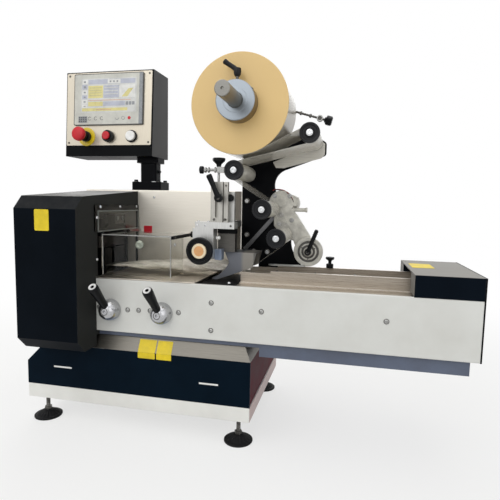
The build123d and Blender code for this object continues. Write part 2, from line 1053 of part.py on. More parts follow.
def hmi_pedestal():
    low = cabinet_top
    top = panel_bottom
    flange = Rectangle(pedestal_flange_width, pedestal_flange_depth)
    flange = extrude(fillet(flange.vertices(), 5), amount=pedestal_flange_height)
    flange = Pos(pedestal_x, pedestal_y, low) * flange
    neck = RectangleRounded(pedestal_neck_width, pedestal_neck_depth, pedestal_neck_corner)
    neck = Pos(pedestal_x, pedestal_y, low) * extrude(neck, amount=top - low)
    head = RectangleRounded(pedestal_top_width, pedestal_top_depth, 5)
    head = extrude(head, amount=pedestal_top_height)
    head = Pos(pedestal_x, pedestal_y, top - pedestal_top_height) * head
    return flange + neck + head


# Film unwinding


def film_support_plate():
    """Swan-necked plate: flared foot, neck to the corner roller and eye round the reel shaft."""
    back = plate_front + plate_thickness
    foot_z = deck_top + guide_height + plate_foot_rise
    x1, z1 = roller_places["idler_roller_1"]
    flare = Vector(plate_foot_right - plate_flare_width, foot_z + plate_flare_height)
    flare_middle = (
        plate_foot_right - plate_flare_width / 2 - plate_flare_bow,
        foot_z + plate_flare_height / 2,
    )
    neck = Vector(plate_neck_x, plate_neck_z)
    neck_end = Vector(plate_neck_x + plate_neck_reach, plate_neck_z + plate_neck_rise)
    tip_low = (x1 + plate_tip_reach, z1 - plate_tip_drop)
    tip_high = (x1 + plate_tip_reach, z1)
    edges = [
        Line((plate_left, foot_z), (plate_foot_right, foot_z)),
        ThreePointArc((plate_foot_right, foot_z), flare_middle, flare),
        Line(flare, neck),
        TangentArc(neck, neck_end, tangent=neck - flare),
        Line(neck_end, tip_low),
        Polyline(
            tip_low,
            tip_high,
            (x1, z1 + plate_tip_rise),
            (reel_x + plate_eye_radius, reel_z - plate_eye_radius),
            (reel_x, reel_z),
            (reel_x - plate_eye_radius, reel_z),
            (plate_left, reel_z - plate_shoulder_drop),
            (plate_left, foot_z),
        ),
    ]
    face = make_face(edges)
    tips = [v for v in face.vertices() if v.X > x1 + plate_tip_reach - 1]
    face = Plane.XZ * fillet(tips, plate_tip_corner)
    plate = Pos(0, plate_front, 0) * extrude(face, amount=plate_thickness, dir=(0, 1, 0))
    foot = block(
        plate_foot_left,
        plate_foot_right,
        plate_front,
        plate_front + plate_foot_depth,
        deck_top + touch_gap,
        foot_z + 1,
    )
    boss_back = back + reel_boss_length
    eye = rod_y(reel_x, reel_z, plate_eye_radius, plate_front, back)
    boss = rod_y(reel_x, reel_z, reel_boss_radius, plate_front, boss_back)
    bore = rod_y(reel_x, reel_z, shaft_radius + running_fit, plate_front - 1, boss_back + 1)
    ear = rod_y(brake_lug_x, brake_lug_z, brake_lug_radius + 4, plate_front, back)
    return plate + foot + eye + boss + ear - bore


def reel_shaft():
    shoulder = film_front - collar_length - shaft_chamfer
    front = film_front - collar_length - shaft_overhang
    back = plate_front + plate_thickness + reel_boss_length - 4
    profile = [
        (0, front),
        (shaft_end_radius - shaft_chamfer, front),
        (shaft_end_radius, front + shaft_chamfer),
        (shaft_end_radius, shoulder - shaft_groove_width),
        (shaft_groove_radius, shoulder - shaft_groove_width),
        (shaft_groove_radius, shoulder),
        (shaft_radius, shoulder),
        (shaft_radius, back),
        (0, back),
    ]
    return turned_y(reel_x, reel_z, profile)


def reel_collars():
    """Front collar with its spigot in the core, and the rear stop collar."""
    front = film_front - collar_length
    bore = shaft_radius + running_fit
    spigot_radius = core_radius - touch_gap
    profile = [
        (bore, front),
        (collar_radius - 2, front),
        (collar_radius, front + 2),
        (collar_radius, film_front - touch_gap),
        (spigot_radius, film_front - touch_gap),
        (spigot_radius, film_front + collar_spigot),
        (bore, film_front + collar_spigot),
    ]
    rear = [
        (bore, film_back - collar_spigot),
        (spigot_radius, film_back - collar_spigot),
        (spigot_radius, film_back + touch_gap),
        (collar_radius, film_back + touch_gap),
        (collar_radius, film_back + rear_collar_length),
        (bore, film_back + rear_collar_length),
    ]
    return [turned_y(reel_x, reel_z, profile), turned_y(reel_x, reel_z, rear)]


def film_roll():
    tube = rod_y(reel_x, reel_z, roll_radius, film_front, film_back)
    return tube - rod_y(reel_x, reel_z, core_radius, film_front - 1, film_back + 1)


def reel_clamp_lever():
    """Clamp lever on the front collar: threaded foot, hub and a cranked arm."""
    y = film_front - collar_length / 2 - reel_lever_offset
    low = collar_radius + touch_gap
    hub_low = low + 12
    hub_top = low + 34
    foot = rod_z(0, y, reel_lever_foot_radius, low, hub_low + 4)
    hub = rod_z(0, y, reel_lever_hub_radius, hub_low, hub_top)
    reach = Vector(*reel_lever_reach)
    start = Vector(0, y, hub_top - reel_lever_arm_radius)
    plane = Plane(origin=start, z_dir=reach.normalized())
    arm = plane * extrude(Circle(reel_lever_arm_radius), amount=reach.length, taper=-3)
    return Pos(reel_x, 0, reel_z) * Rotation(0, reel_lever_turn, 0) * (foot + hub + arm)


def roller_seat(name):
    """Face that carries the roller's axle: the plate, or the casting in front of it."""
    return gear_front if name in ("idler_roller_3", "idler_roller_4") else plate_front


def idler_roller(name):
    x, z = roller_places[name]
    back = roller_seat(name) - roller_end_gap
    tube_r = roller_tube_radius
    cap_r = roller_cap_radius
    bore = roller_axle_radius + running_fit
    profile = [
        (bore, roller_front),
        (cap_r - 2, roller_front),
        (cap_r, roller_front + 2),
        (cap_r, roller_front + roller_cap_length),
        (tube_r, roller_front + roller_cap_length),
        (tube_r, back),
        (bore, back),
    ]
    return turned_y(x, z, profile)


def idler_axles():
    axles = []
    for name, (x, z) in roller_places.items():
        head = roller_axle_radius + 3
        spacer = roller_axle_radius + roller_spacer_wall
        seat = roller_seat(name)
        profile = [
            (0, roller_front - 5),
            (head, roller_front - 5),
            (head, roller_front - touch_gap),
            (roller_axle_radius, roller_front - touch_gap),
            (roller_axle_radius, seat - roller_spacer),
            (spacer, seat - roller_spacer),
            (spacer, seat),
            (0, seat),
        ]
        axles.append(turned_y(x, z, profile))
    return axles


def tangent_points(a, b):
    """Ends of the film's straight run between two rolls given as (x, z, radius, turn)."""
    ax, az, ar, at = a
    bx, bz, br, bt = b
    dx = bx - ax
    dz = bz - az
    length = math.hypot(dx, dz)
    angle = math.atan2(dz, dx) + math.asin((at * ar - bt * br) / length)
    nx = math.sin(angle)
    nz = -math.cos(angle)
    return (ax + at * ar * nx, az + at * ar * nz), (bx + bt * br * nx, bz + bt * br * nz)


def film_line(offset):
    """Side view of the film, at a distance from the roll surfaces; turn is 1 for left-hand."""
    turns = {"idler_roller_1": -1, "idler_roller_2": 1, "idler_roller_3": -1, "idler_roller_4": -1}
    rolls = [(reel_x, reel_z, roll_radius + web_gap + offset, 1)]
    for name, turn in turns.items():
        x, z = roller_places[name]
        side = offset if turn > 0 else film_thickness - offset
        rolls.append((x, z, roller_tube_radius + web_gap + side, turn))
    lead_x = former_x + former_length + film_lead_gap
    lead_z = sealing_deck_top + film_lead_height
    rolls.append((lead_x, lead_z + offset, 0.01, -1))
    edges = []
    last = None
    for a, b in zip(rolls[:-1], rolls[1:]):
        start, end = tangent_points(a, b)
        if last is not None:
            x, z, radius, turn = a
            middle_angle = arc_middle(x, z, last, start, turn)
            middle = (x + radius * math.cos(middle_angle), z + radius * math.sin(middle_angle))
            edges.append(ThreePointArc(last, middle, start))
        edges.append(Line(start, end))
        last = end
    return edges


def arc_middle(x, z, start, end, turn):
    first = math.atan2(start[1] - z, start[0] - x)
    second = math.atan2(end[1] - z, end[0] - x)
    sweep = (second - first) % (2 * math.pi)
    if turn < 0:
        sweep -= 2 * math.pi
    return first + sweep / 2


def film_web():
    inner = film_line(0)
    outer = film_line(film_thickness)
    ends = [
        Line(inner[0] @ 0, outer[0] @ 0),
        Line(inner[-1] @ 1, outer[-1] @ 1),
    ]
    face = Plane.XZ * make_face(Curve() + inner + outer + ends)
    return Pos(0, film_front, 0) * extrude(face, amount=film_width, dir=(0, 1, 0))


# Feed gearbox


def feed_gearbox():
    """Casting on the plate: round head, arm down to the disc, terminal block, stud and motor."""
    roller_x, roller_z = roller_places["idler_roller_4"]
    head = rod_y(gear_x, gear_z, gear_radius, gear_front, plate_front)
    arm = [
        (gear_x - gear_arm_left, gear_z - gear_radius / 2),
        (gear_x - gear_arm_left, roller_z + roller_cap_radius),
        (roller_x, roller_z - roller_tube_radius / 2),
        (disc_x - disc_radius - gear_arm_lip / 2, disc_z + disc_radius * 0.75),
        (disc_x - disc_radius + gear_arm_lip / 2, disc_z),
        (disc_x, disc_z - disc_radius / 2),
        (disc_x + gear_arm_lip * 2, disc_z),
        (disc_x + gear_arm_lip, disc_z + disc_radius * 0.75),
        (gear_x + gear_arm_right, gear_z - gear_radius),
        (gear_x + gear_radius / 2, gear_z),
    ]
    body = head + prism_y(arm, gear_front, plate_front)
    body = fillet(body.edges().group_by(Axis.Y)[0], gear_edge)
    terminal_x = gear_x + gear_terminal_left
    terminal = block(
        terminal_x,
        terminal_x + gear_terminal_width,
        gear_front + gear_edge,
        plate_front,
        gear_z - gear_terminal_height / 3,
        gear_z + gear_terminal_height * 2 / 3,
    )
    middle_y = (gear_front + plate_front) / 2
    stud_end = gear_x + gear_stud_reach
    stud_radius = gear_stud_radius - 2
    stud = rod_x(middle_y, gear_z - gear_stud_drop, stud_radius, gear_x, stud_end)
    cap_start = stud_end - gear_stud_cap
    cap = rod_x(middle_y, gear_z - gear_stud_drop, stud_radius + 1.5, cap_start, stud_end)
    boss = rod_y(gear_x, gear_z, gear_boss_radius, gear_front - gear_boss_height, gear_front)
    pin_front = disc_front + disc_thickness + touch_gap
    pin = rod_y(disc_x, disc_z, disc_pin_radius, pin_front, plate_front)
    motor_x = gear_x + gear_motor_offset
    motor_back = plate_front + gear_motor_length
    motor = rod_y(motor_x, gear_z, gear_motor_radius, plate_front, motor_back)
    return body + terminal + stud + cap + boss + pin + motor


def tension_disc():
    y0 = disc_front
    y1 = disc_front + disc_thickness
    floor = y0 + disc_recess
    profile = [
        (0, y0 - disc_boss_height),
        (disc_boss_radius, y0 - disc_boss_height),
        (disc_boss_radius, floor),
        (disc_radius - disc_rim - disc_recess, floor),
        (disc_radius - disc_rim, y0),
        (disc_radius, y0),
        (disc_radius, y1),
        (0, y1),
    ]
    return turned_y(disc_x, disc_z, profile)


def tension_lever():
    y = disc_front - disc_boss_height
    r = disc_lever_hub_radius
    front = y - disc_lever_hub_length
    hub = turned_y(disc_x, disc_z, [(0, front), (r - 3, front), (r, front + 4), (r, y), (0, y)])
    angle = math.radians(disc_lever_angle)
    start = Vector(disc_x, y - disc_lever_hub_length / 2, disc_z)
    reach = Vector(math.sin(angle), -0.18, math.cos(angle)).normalized()
    plane = Plane(origin=start, z_dir=reach)
    arm = plane * extrude(Circle(disc_lever_radius), amount=disc_lever_length, taper=-1)
    return hub + arm


def brake_rod():
    """Reel brake screw: a rod out of a lug behind the roll, with a joint and a knob."""
    y = plate_front - brake_lug_radius
    start = Vector(brake_lug_x, y, brake_lug_z)
    end = Vector(brake_knob_x, y, brake_knob_z)
    reach = end - start
    plane = Plane(origin=start, z_dir=reach.normalized())
    rod = plane * extrude(Circle(brake_rod_radius), amount=reach.length)
    joint = plane * Pos(0, 0, reach.length * 0.7) * Sphere(brake_joint_radius)
    knob = extrude(RegularPolygon(brake_knob_radius, 6), amount=brake_knob_length)
    knob = plane * Pos(0, 0, reach.length - brake_rod_radius) * knob
    lug = rod_y(start.X, start.Z, brake_lug_radius, y - brake_rod_radius - 2, plate_front)
    return rod + joint + knob + lug


# Forming box and adjuster


def forming_box():
    """Folded steel former: two side plates with a curved shoulder, joined by the roof."""
    y0 = beam_centre - former_width / 2
    y1 = beam_centre + former_width / 2
    low = sealing_deck_top
    high = low + former_height
    right = former_x + former_length
    nose = (former_x - former_nose_reach, low - former_nose_drop)
    shoulder = (former_x + former_shoulder_length, low + former_shoulder_height)
    bow = (
        (nose[0] + shoulder[0]) / 2 + former_shoulder_bow,
        (nose[1] + shoulder[1]) / 2 - former_shoulder_bow,
    )
    edges = [
        Polyline(
            nose,
            (former_x + former_heel_length, deck_top + touch_gap),
            (former_x + former_belly_length, low + former_belly_height),
            (right - former_mouth_inset, low + former_mouth_height),
            (right, high),
            (former_x + former_roof_start, high),
            shoulder,
        ),
        ThreePointArc(shoulder, bow, nose),
    ]
    side = Plane.XZ * make_face(edges)
    near = Pos(0, y0, 0) * extrude(side, amount=former_sheet, dir=(0, 1, 0))
    far = Pos(0, y1 - former_sheet, 0) * extrude(side, amount=former_sheet, dir=(0, 1, 0))
    roof = block(former_x + former_roof_start, right, y0, y1, high - former_sheet, high)
    return near + far + roof


def former_bracket():
    """Cross arm from the cabinet wall, the light beam on it and the screw block below."""
    y0 = adjuster_front
    low = adjuster_beam_bottom
    high = low + adjuster_beam_height
    beam = block(adjuster_beam_x, adjuster_beam_right, y0, y0 + adjuster_beam_depth, low, high)
    screw_block = block(
        screw_block_left,
        screw_block_left + screw_block_width,
        y0,
        y0 + adjuster_beam_depth,
        low - screw_block_height,
        low,
    )
    arm = block(
        slide_left - adjuster_arm_overlap,
        former_x + former_roof_start + former_post_width,
        y0 + adjuster_beam_depth,
        cabinet_front,
        low,
        high,
    )
    bore = rod_y(
        handwheel_x,
        handwheel_z,
        handwheel_shaft_radius + running_fit,
        y0 - 1,
        y0 + adjuster_beam_depth - adjuster_bore_floor,
    )
    former_y0 = beam_centre - former_width / 2
    former_top = sealing_deck_top + former_height
    post = block(
        former_x + former_roof_start,
        former_x + former_roof_start + former_post_width,
        former_y0 + former_post_inset,
        former_y0 + former_post_inset + former_post_depth,
        former_top,
        low,
    )
    column_back = y0 + adjuster_beam_depth
    column = block(
        adjuster_column_x,
        adjuster_column_x + adjuster_column_width,
        column_back - adjuster_column_depth,
        column_back,
        high,
        high + adjuster_column_height,
    )
    return beam + screw_block + arm + post + column - bore


def former_slide():
    z0 = adjuster_beam_bottom + adjuster_beam_height
    x0 = slide_left
    plate = block(
        x0, x0 + slide_width, adjuster_front, adjuster_front + slide_thickness, z0, z0 + slide_height
    )
    slot = Plane.XZ * SlotOverall(slide_slot_length, slide_slot_width, rotation=90)
    slot = extrude(slot, amount=slide_thickness * 2, both=True)
    return plate - Pos(x0 + slide_width / 2, adjuster_front, z0 + slide_height / 2 - 8) * slot


def slide_clamp_lever():
    x = slide_left + slide_lever_inset
    z = adjuster_beam_bottom + adjuster_beam_height + slide_lever_height
    back = adjuster_front - touch_gap
    front = back - slide_lever_hub_length
    r = slide_lever_hub_radius
    hub = [(0, front), (r - 4, front), (r, front + 6), (r, back - 8), (r - 4, back), (0, back)]
    reach = Vector(*slide_lever_reach)
    plane = Plane(origin=(x, front + 8, z), z_dir=reach.normalized())
    arm = plane * extrude(Circle(slide_lever_radius), amount=reach.length, taper=-1)
    return turned_y(x, z, hub) + arm


def former_knobs():
    """Height screw with its wing knob, crossed by the tracking screw of the upper roller."""
    x = slide_left + height_screw_inset
    y = adjuster_front + slide_thickness / 2
    z0 = adjuster_beam_bottom + adjuster_beam_height + slide_height
    roller_x, roller_z = roller_places["idler_roller_2"]
    screw = rod_z(x, y, height_screw_radius, z0, roller_z + tracking_knob_radius)
    r = wing_knob_radius
    wing_low = roller_z + wing_knob_height / 4
    wing_top = roller_z + wing_knob_height
    wing = [
        (0, wing_low),
        (r * 0.35, wing_low),
        (r * 0.4, wing_low + r * 0.35),
        (r, wing_top - r * 0.35),
        (r, wing_top),
        (0, wing_top),
    ]
    nut_right = roller_x - roller_cap_radius - moving_gap
    nut_left = nut_right - 2 * tracking_knob_radius
    nut_back = y + slide_thickness / 4
    nut_low = roller_z - tracking_nut_height / 2
    nut = block(
        nut_left,
        nut_right,
        nut_back - tracking_nut_depth,
        nut_back,
        nut_low,
        nut_low + tracking_nut_height,
    )
    knob_x = slide_left - tracking_reach - brake_rod_radius * 2
    rod = rod_x(y, roller_z, brake_rod_radius, knob_x, nut_right)
    end = rod_x(y, roller_z, tracking_knob_radius, knob_x - tracking_knob_length, knob_x)
    return screw + turned_z(x, y, wing) + nut + rod + end


def former_handwheel():
    front = handwheel_front
    back = front + handwheel_thickness
    r = handwheel_radius
    hub_back = back + handwheel_hub_length
    shaft_end = adjuster_front + handwheel_shaft_seat
    profile = [
        (0, front),
        (handwheel_cap_radius - 1, front),
        (handwheel_cap_radius, front + handwheel_cap_step),
        (r - handwheel_rim - handwheel_edge, front + handwheel_cap_step),
        (r - handwheel_rim, front),
        (r - handwheel_edge + 1, front),
        (r, front + handwheel_edge),
        (r, back - handwheel_edge),
        (r - handwheel_edge, back),
        (handwheel_hub_radius, back),
        (handwheel_hub_radius - 2, hub_back),
        (handwheel_shaft_radius, hub_back),
        (handwheel_shaft_radius, shaft_end),
        (0, shaft_end),
    ]
    return turned_y(handwheel_x, handwheel_z, profile)


# Assembly


def assemble():
    nodes = {
        "levelling_feet": levelling_feet(),
        "base_rail": base_rail(),
        "base_plinth": base_plinth(),
        "base_front_cover": base_front_cover(),
        "base_strip": base_strip(),
        "beam_front_panel": beam_front_panel(),
        "beam_rear_panel": beam_rear_panel(),
        "beam_deck": beam_deck(),
        "sealing_deck": sealing_deck(),
        "beam_channel": beam_channel(),
        "beam_end_plate": beam_end_plate(),
        "infeed_end_cover": infeed_end_cover(),
        "infeed_chain": infeed_chain(),
        "chain_sprockets": chain_sprockets(),
        "front_side_guide": side_guide(-1),
        "rear_side_guide": side_guide(1),
        "guide_clamp": guide_clamp(),
        "sealing_housing": sealing_housing(),
        "housing_window": housing_window(),
        "jaw_frame": jaw_frame(),
        "upper_jaw": jaw(1),
        "lower_jaw": jaw(-1),
        "rear_cabinet": rear_cabinet(),
        "clear_guard": clear_guard(),
        "guard_arms": guard_arms(),
        "guard_bracket": guard_bracket(),
        "guard_knob": guard_knob(),
        "hmi_pedestal": hmi_pedestal(),
        "hmi_box": hmi_box(),
        "hmi_fascia": hmi_fascia(),
        "hmi_screen": hmi_screen(),
        "button_collars": button_collars(),
        "e_stop_button": e_stop_button(),
        "stop_button": push_button(stop_x, stop_diameter, stop_height),
        "start_button": push_button(start_x, start_diameter, start_height),
        "film_support_plate": film_support_plate(),
        "reel_shaft": reel_shaft(),
        "reel_collars": reel_collars(),
        "reel_clamp_lever": reel_clamp_lever(),
        "film_roll": film_roll(),
        "idler_axles": idler_axles(),
        "film_web": film_web(),
        "feed_gearbox": feed_gearbox(),
        "tension_disc": tension_disc(),
        "tension_lever": tension_lever(),
        "brake_rod": brake_rod(),
        "forming_box": forming_box(),
        "former_bracket": former_bracket(),
        "former_slide": former_slide(),
        "slide_clamp_lever": slide_clamp_lever(),
        "former_knobs": former_knobs(),
        "former_handwheel": former_handwheel(),
    }
    for side, x in lever_places.items():
        nodes["lever_hub_" + side] = lever_hub(x)
        nodes["lever_grip_" + side] = lever_grip(x)
    for name in roller_places:
        nodes[name] = idler_roller(name)
    return nodes


def as_compound(shape):
    pieces = shape if isinstance(shape, list) else [shape]
    solids = [solid for piece in pieces for solid in piece.solids()]
    return Compound(children=solids) if len(solids) > 1 else solids[0]


os.makedirs("parts", exist_ok=True)
machine = {name: as_compound(shape) for name, shape in assemble().items()}
boxes = [shape.bounding_box() for shape in machine.values()]
shift_x = -(min(b.min.X for b in boxes) + max(b.max.X for b in boxes)) / 2
shift_y = -(min(b.min.Y for b in boxes) + max(b.max.Y for b in boxes)) / 2
for name, shape in machine.items():
    export_step(Pos(shift_x, shift_y, 0) * shape, "parts/" + name + ".step")
print("origin shift", round(shift_x, 4), round(shift_y, 4))
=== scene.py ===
import math
import random

import bmesh
import bpy
from mathutils import Matrix, Vector


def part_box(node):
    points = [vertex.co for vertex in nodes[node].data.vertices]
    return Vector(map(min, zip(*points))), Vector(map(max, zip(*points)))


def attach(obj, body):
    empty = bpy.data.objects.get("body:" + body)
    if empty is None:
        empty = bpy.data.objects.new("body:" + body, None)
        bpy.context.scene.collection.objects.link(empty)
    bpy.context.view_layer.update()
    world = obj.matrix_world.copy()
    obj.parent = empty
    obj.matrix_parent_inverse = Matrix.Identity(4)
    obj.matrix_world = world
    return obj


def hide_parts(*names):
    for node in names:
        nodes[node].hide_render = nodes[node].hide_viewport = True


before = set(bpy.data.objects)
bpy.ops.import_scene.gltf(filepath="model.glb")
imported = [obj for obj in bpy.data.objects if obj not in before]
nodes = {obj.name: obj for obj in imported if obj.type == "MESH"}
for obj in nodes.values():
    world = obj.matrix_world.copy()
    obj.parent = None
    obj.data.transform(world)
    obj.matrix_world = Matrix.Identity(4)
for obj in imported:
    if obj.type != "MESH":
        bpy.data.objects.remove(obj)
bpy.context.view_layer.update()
scene = bpy.context.scene
print("frame loaded:", len(nodes), "nodes")

# Places below are metres from the corner where the beam's front face meets the sealing
# housing, straight above the floor: x along the beam, y to the back, z up.
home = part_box("beam_front_panel")[0]
toRight, toLeft, toBack, toFront = (1, 0, 0), (-1, 0, 0), (0, 1, 0), (0, -1, 0)
toTop, toBottom = (0, 0, 1), (0, 0, -1)


def spot(x, y, z):
    return Vector((home.x + x, home.y + y, z))


def atDepth(place, y):
    return Vector((place.x, y, place.z))


def roundPart(node):
    # centre on the axis, front, back and radius of a piece turned on a front-to-back axis
    low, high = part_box(node)
    centre = Vector(((low.x + high.x) / 2, 0, (low.z + high.z) / 2))
    return centre, low.y, high.y, (high.z - low.z) / 2


# Camera and light

cameraLook = {
    "place": (0.6866, -1.1246, 0.6562),
    "right": (0.97624, 0.21572, 0.02054),
    "up": (-0.04185, 0.09469, 0.99463),
    "lens": 32.36,
}


def placeCamera(look):
    right = Vector(look["right"]).normalized()
    up = Vector(look["up"])
    up = (up - right * up.dot(right)).normalized()
    back = right.cross(up)
    data = bpy.data.cameras.new("photoCamera")
    data.lens = look["lens"]
    data.sensor_width = 36
    data.sensor_fit = "HORIZONTAL"
    data.clip_end = 60
    camera = bpy.data.objects.new("photoCamera", data)
    turn = Matrix((right, up, back)).transposed().to_4x4()
    camera.matrix_world = Matrix.Translation(spot(*look["place"])) @ turn
    scene.collection.objects.link(camera)
    scene.camera = camera


studioLook = {
    "lamps": [
        {"name": "keyLamp", "place": (-0.9, -2.9, 2.9), "size": 3.6, "power": 72},
        {"name": "fillLamp", "place": (3.0, -2.0, 1.7), "size": 3.0, "power": 22},
        {"name": "topLamp", "place": (0.3, 0.4, 3.2), "size": 3.4, "power": 36},
        {"name": "backLamp", "place": (-0.6, 3.0, 2.0), "size": 3.0, "power": 40},
    ],
    "aim": (0.35, 0.1, 0.45),
    "worldLevel": 0.38,
    "floorSize": 14,
    "floorColor": (236, 236, 234),
    "floorGlow": 0.62,
    "glowNear": 0.75,
    "glowFar": 2.4,
}


def linear(value):
    value = value / 255
    return value / 12.92 if value <= 0.04045 else ((value + 0.055) / 1.055) ** 2.4


def tint(color):
    return (linear(color[0]), linear(color[1]), linear(color[2]), 1)


def addNode(tree, kind, feeds=None, **settings):
    node = tree.nodes.new(kind)
    for key, value in settings.items():
        setattr(node, key, value)
    for key, value in (feeds or {}).items():
        if isinstance(value, bpy.types.NodeSocket):
            tree.links.new(value, node.inputs[key])
        else:
            node.inputs[key].default_value = value
    return node


def reckon(tree, operation, *values, **settings):
    return addNode(tree, "ShaderNodeMath", dict(enumerate(values)), operation=operation,
                   **settings).outputs[0]


def vectorMath(tree, operation, *values):
    return addNode(tree, "ShaderNodeVectorMath", dict(enumerate(values)), operation=operation).outputs


def ranged(tree, value, low, high, toLow=0.0, toHigh=1.0, **settings):
    return addNode(tree, "ShaderNodeMapRange", {"Value": value, "From Min": low, "From Max": high,
                                               "To Min": toLow, "To Max": toHigh}, **settings).outputs[0]


def objectPlace(tree):
    return tree.nodes.new("ShaderNodeTexCoord").outputs["Object"]


def noise(tree, place, scale, detail, rough=0.5):
    return addNode(tree, "ShaderNodeTexNoise", {"Vector": place, "Scale": scale, "Detail": detail,
                                               "Roughness": rough}).outputs["Fac"]


def agreement(tree, axis):
    # 1 where the flat surface looks along an axis, less where it leans away
    flat = tree.nodes.new("ShaderNodeNewGeometry")
    return vectorMath(tree, "DOT_PRODUCT", flat.outputs["Normal"], axis)["Value"]


def backgroundRay(tree):
    # 1 where a ray from the camera, a gloss or a clear sheet looks at the background
    rays = tree.nodes.new("ShaderNodeLightPath").outputs
    seen = reckon(tree, "MAXIMUM", rays["Is Camera Ray"], rays["Is Glossy Ray"])
    return reckon(tree, "MAXIMUM", seen, rays["Is Transmission Ray"])


def lightStudio(look):
    aim = spot(*look["aim"])
    for lamp in look["lamps"]:
        data = bpy.data.lights.new(lamp["name"], "AREA")
        data.shape = "SQUARE"
        data.size = lamp["size"]
        data.energy = lamp["power"]
        light = bpy.data.objects.new(lamp["name"], data)
        light.location = spot(*lamp["place"])
        light.rotation_euler = (aim - light.location).to_track_quat("-Z", "Y").to_euler()
        scene.collection.objects.link(light)
    world = bpy.data.worlds.new("paleStudio")
    world.use_nodes = True
    tree = world.node_tree
    level = ranged(tree, backgroundRay(tree), 0.0, 1.0, look["worldLevel"], 1.0)
    background = tree.nodes["Background"]
    background.inputs["Color"].default_value = (1, 1, 1, 1)
    tree.links.new(level, background.inputs["Strength"])
    scene.world = world


def layFloor(look):
    half = look["floorSize"] / 2
    bm = bmesh.new()
    corners = [bm.verts.new((x * half, y * half, 0)) for x, y in ((-1, -1), (1, -1), (1, 1), (-1, 1))]
    bm.faces.new(corners)
    mesh = bpy.data.meshes.new("studioFloor")
    bm.to_mesh(mesh)
    bm.free()
    floor = bpy.data.objects.new("studioFloor", mesh)
    scene.collection.objects.link(floor)
    material = bpy.data.materials.new("floorPaper")
    material.use_nodes = True
    tree = material.node_tree
    shader = tree.nodes["Principled BSDF"]
    shader.inputs["Base Color"].default_value = tint(look["floorColor"])
    shader.inputs["Roughness"].default_value = 0.85
    shader.inputs["Specular IOR Level"].default_value = 0.0
    glow = addNode(tree, "ShaderNodeEmission", {"Color": (1, 1, 1, 1), "Strength": 1.0})
    away = vectorMath(tree, "LENGTH", objectPlace(tree))["Value"]
    farShare = ranged(tree, away, look["glowNear"], look["glowFar"], look["floorGlow"], 1.0,
                      interpolation_type="SMOOTHSTEP")
    share = reckon(tree, "MULTIPLY", backgroundRay(tree), farShare)
    blend = addNode(tree, "ShaderNodeMixShader", {0: share, 1: shader.outputs[0], 2: glow.outputs[0]})
    tree.links.new(blend.outputs[0], tree.nodes["Material Output"].inputs["Surface"])
    mesh.materials.append(material)


scene.view_settings.view_transform = "Standard"
placeCamera(cameraLook)
lightStudio(studioLook)
layFloor(studioLook)
print("camera and light placed")


# Shared finish effects, each a node group with its own named inputs

def newGroup(name, inputs, outputs):
    # a socket holds a number, or a vector where its value has three parts
    group = bpy.data.node_groups.new(name, "ShaderNodeTree")
    for way, sockets in (("INPUT", inputs), ("OUTPUT", outputs)):
        for label, value in sockets.items():
            kind = "NodeSocketVector" if isinstance(value, tuple) else "NodeSocketFloat"
            socket = group.interface.new_socket(label, in_out=way, socket_type=kind)
            socket.default_value = value
    return group, group.nodes.new("NodeGroupInput").outputs, group.nodes.new("NodeGroupOutput").inputs


def makePaintSkin():
    # fine orange peel and a slow mottle of sprayed paint or moulded plastic
    group, given, made = newGroup("paintSkin", {"Scale": 900.0, "Mottle Scale": 9.0},
                                  {"Mottle": 0.0, "Height": 0.0})
    place = objectPlace(group)
    group.links.new(noise(group, place, given["Mottle Scale"], 4.0, 0.6), made["Mottle"])
    group.links.new(noise(group, place, given["Scale"], 2.0), made["Height"])
    return group


def makeEdgeWear():
    # rounded edge normals, and a broken mask of rubbed edges
    group, given, made = newGroup("edgeWear", {"Radius": 0.0015, "Amount": 1.0, "Scale": 60.0},
                                  {"Mask": 0.0, "Normal": (0.0, 0.0, 0.0)})
    rounded = addNode(group, "ShaderNodeBevel", {"Radius": given["Radius"]}, samples=4).outputs[0]
    edge = ranged(group, agreement(group, rounded), 0.995, 0.8)
    patchy = ranged(group, noise(group, objectPlace(group), given["Scale"], 5.0), 0.42, 0.62)
    worn = reckon(group, "MULTIPLY", edge, patchy)
    group.links.new(reckon(group, "MULTIPLY", worn, given["Amount"], use_clamp=True), made["Mask"])
    group.links.new(rounded, made["Normal"])
    return group


def makeBrushedGrain():
    # long hairlines along the axis whose stretch is smallest
    group, given, made = newGroup("brushedGrain", {"Stretch": (4, 260, 260), "Cloud Scale": 3.0},
                                  {"Streak": 0.0, "Cloud": 0.0})
    place = objectPlace(group)
    stretched = vectorMath(group, "MULTIPLY", place, given["Stretch"])[0]
    group.links.new(noise(group, stretched, 5.0, 3.0, 0.65), made["Streak"])
    group.links.new(noise(group, place, given["Cloud Scale"], 3.0), made["Cloud"])
    return group


def makeTurnedLines():
    # fine rings round a front-to-back axis, as a lathe or a wound roll leaves
    group, given, made = newGroup("turnedLines", {"Centre": (0, 0, 0), "Pitch": 900.0, "Along": 0.0},
                                  {"Lines": 0.0})
    away = vectorMath(group, "SUBTRACT", objectPlace(group), given["Centre"])[0]
    radius = vectorMath(group, "LENGTH", vectorMath(group, "MULTIPLY", away, (1, 0, 1))[0])["Value"]
    depth = addNode(group, "ShaderNodeSeparateXYZ", {0: away}).outputs["Y"]
    spread = reckon(group, "ADD", radius, reckon(group, "MULTIPLY", depth, given["Along"]))
    count = reckon(group, "MULTIPLY", spread, given["Pitch"])
    lines = addNode(group, "ShaderNodeTexNoise", {"W": count, "Scale": 1.0, "Detail": 3.0, "Roughness": 0.7},
                    noise_dimensions="1D")
    group.links.new(lines.outputs["Fac"], made["Lines"])
    return group


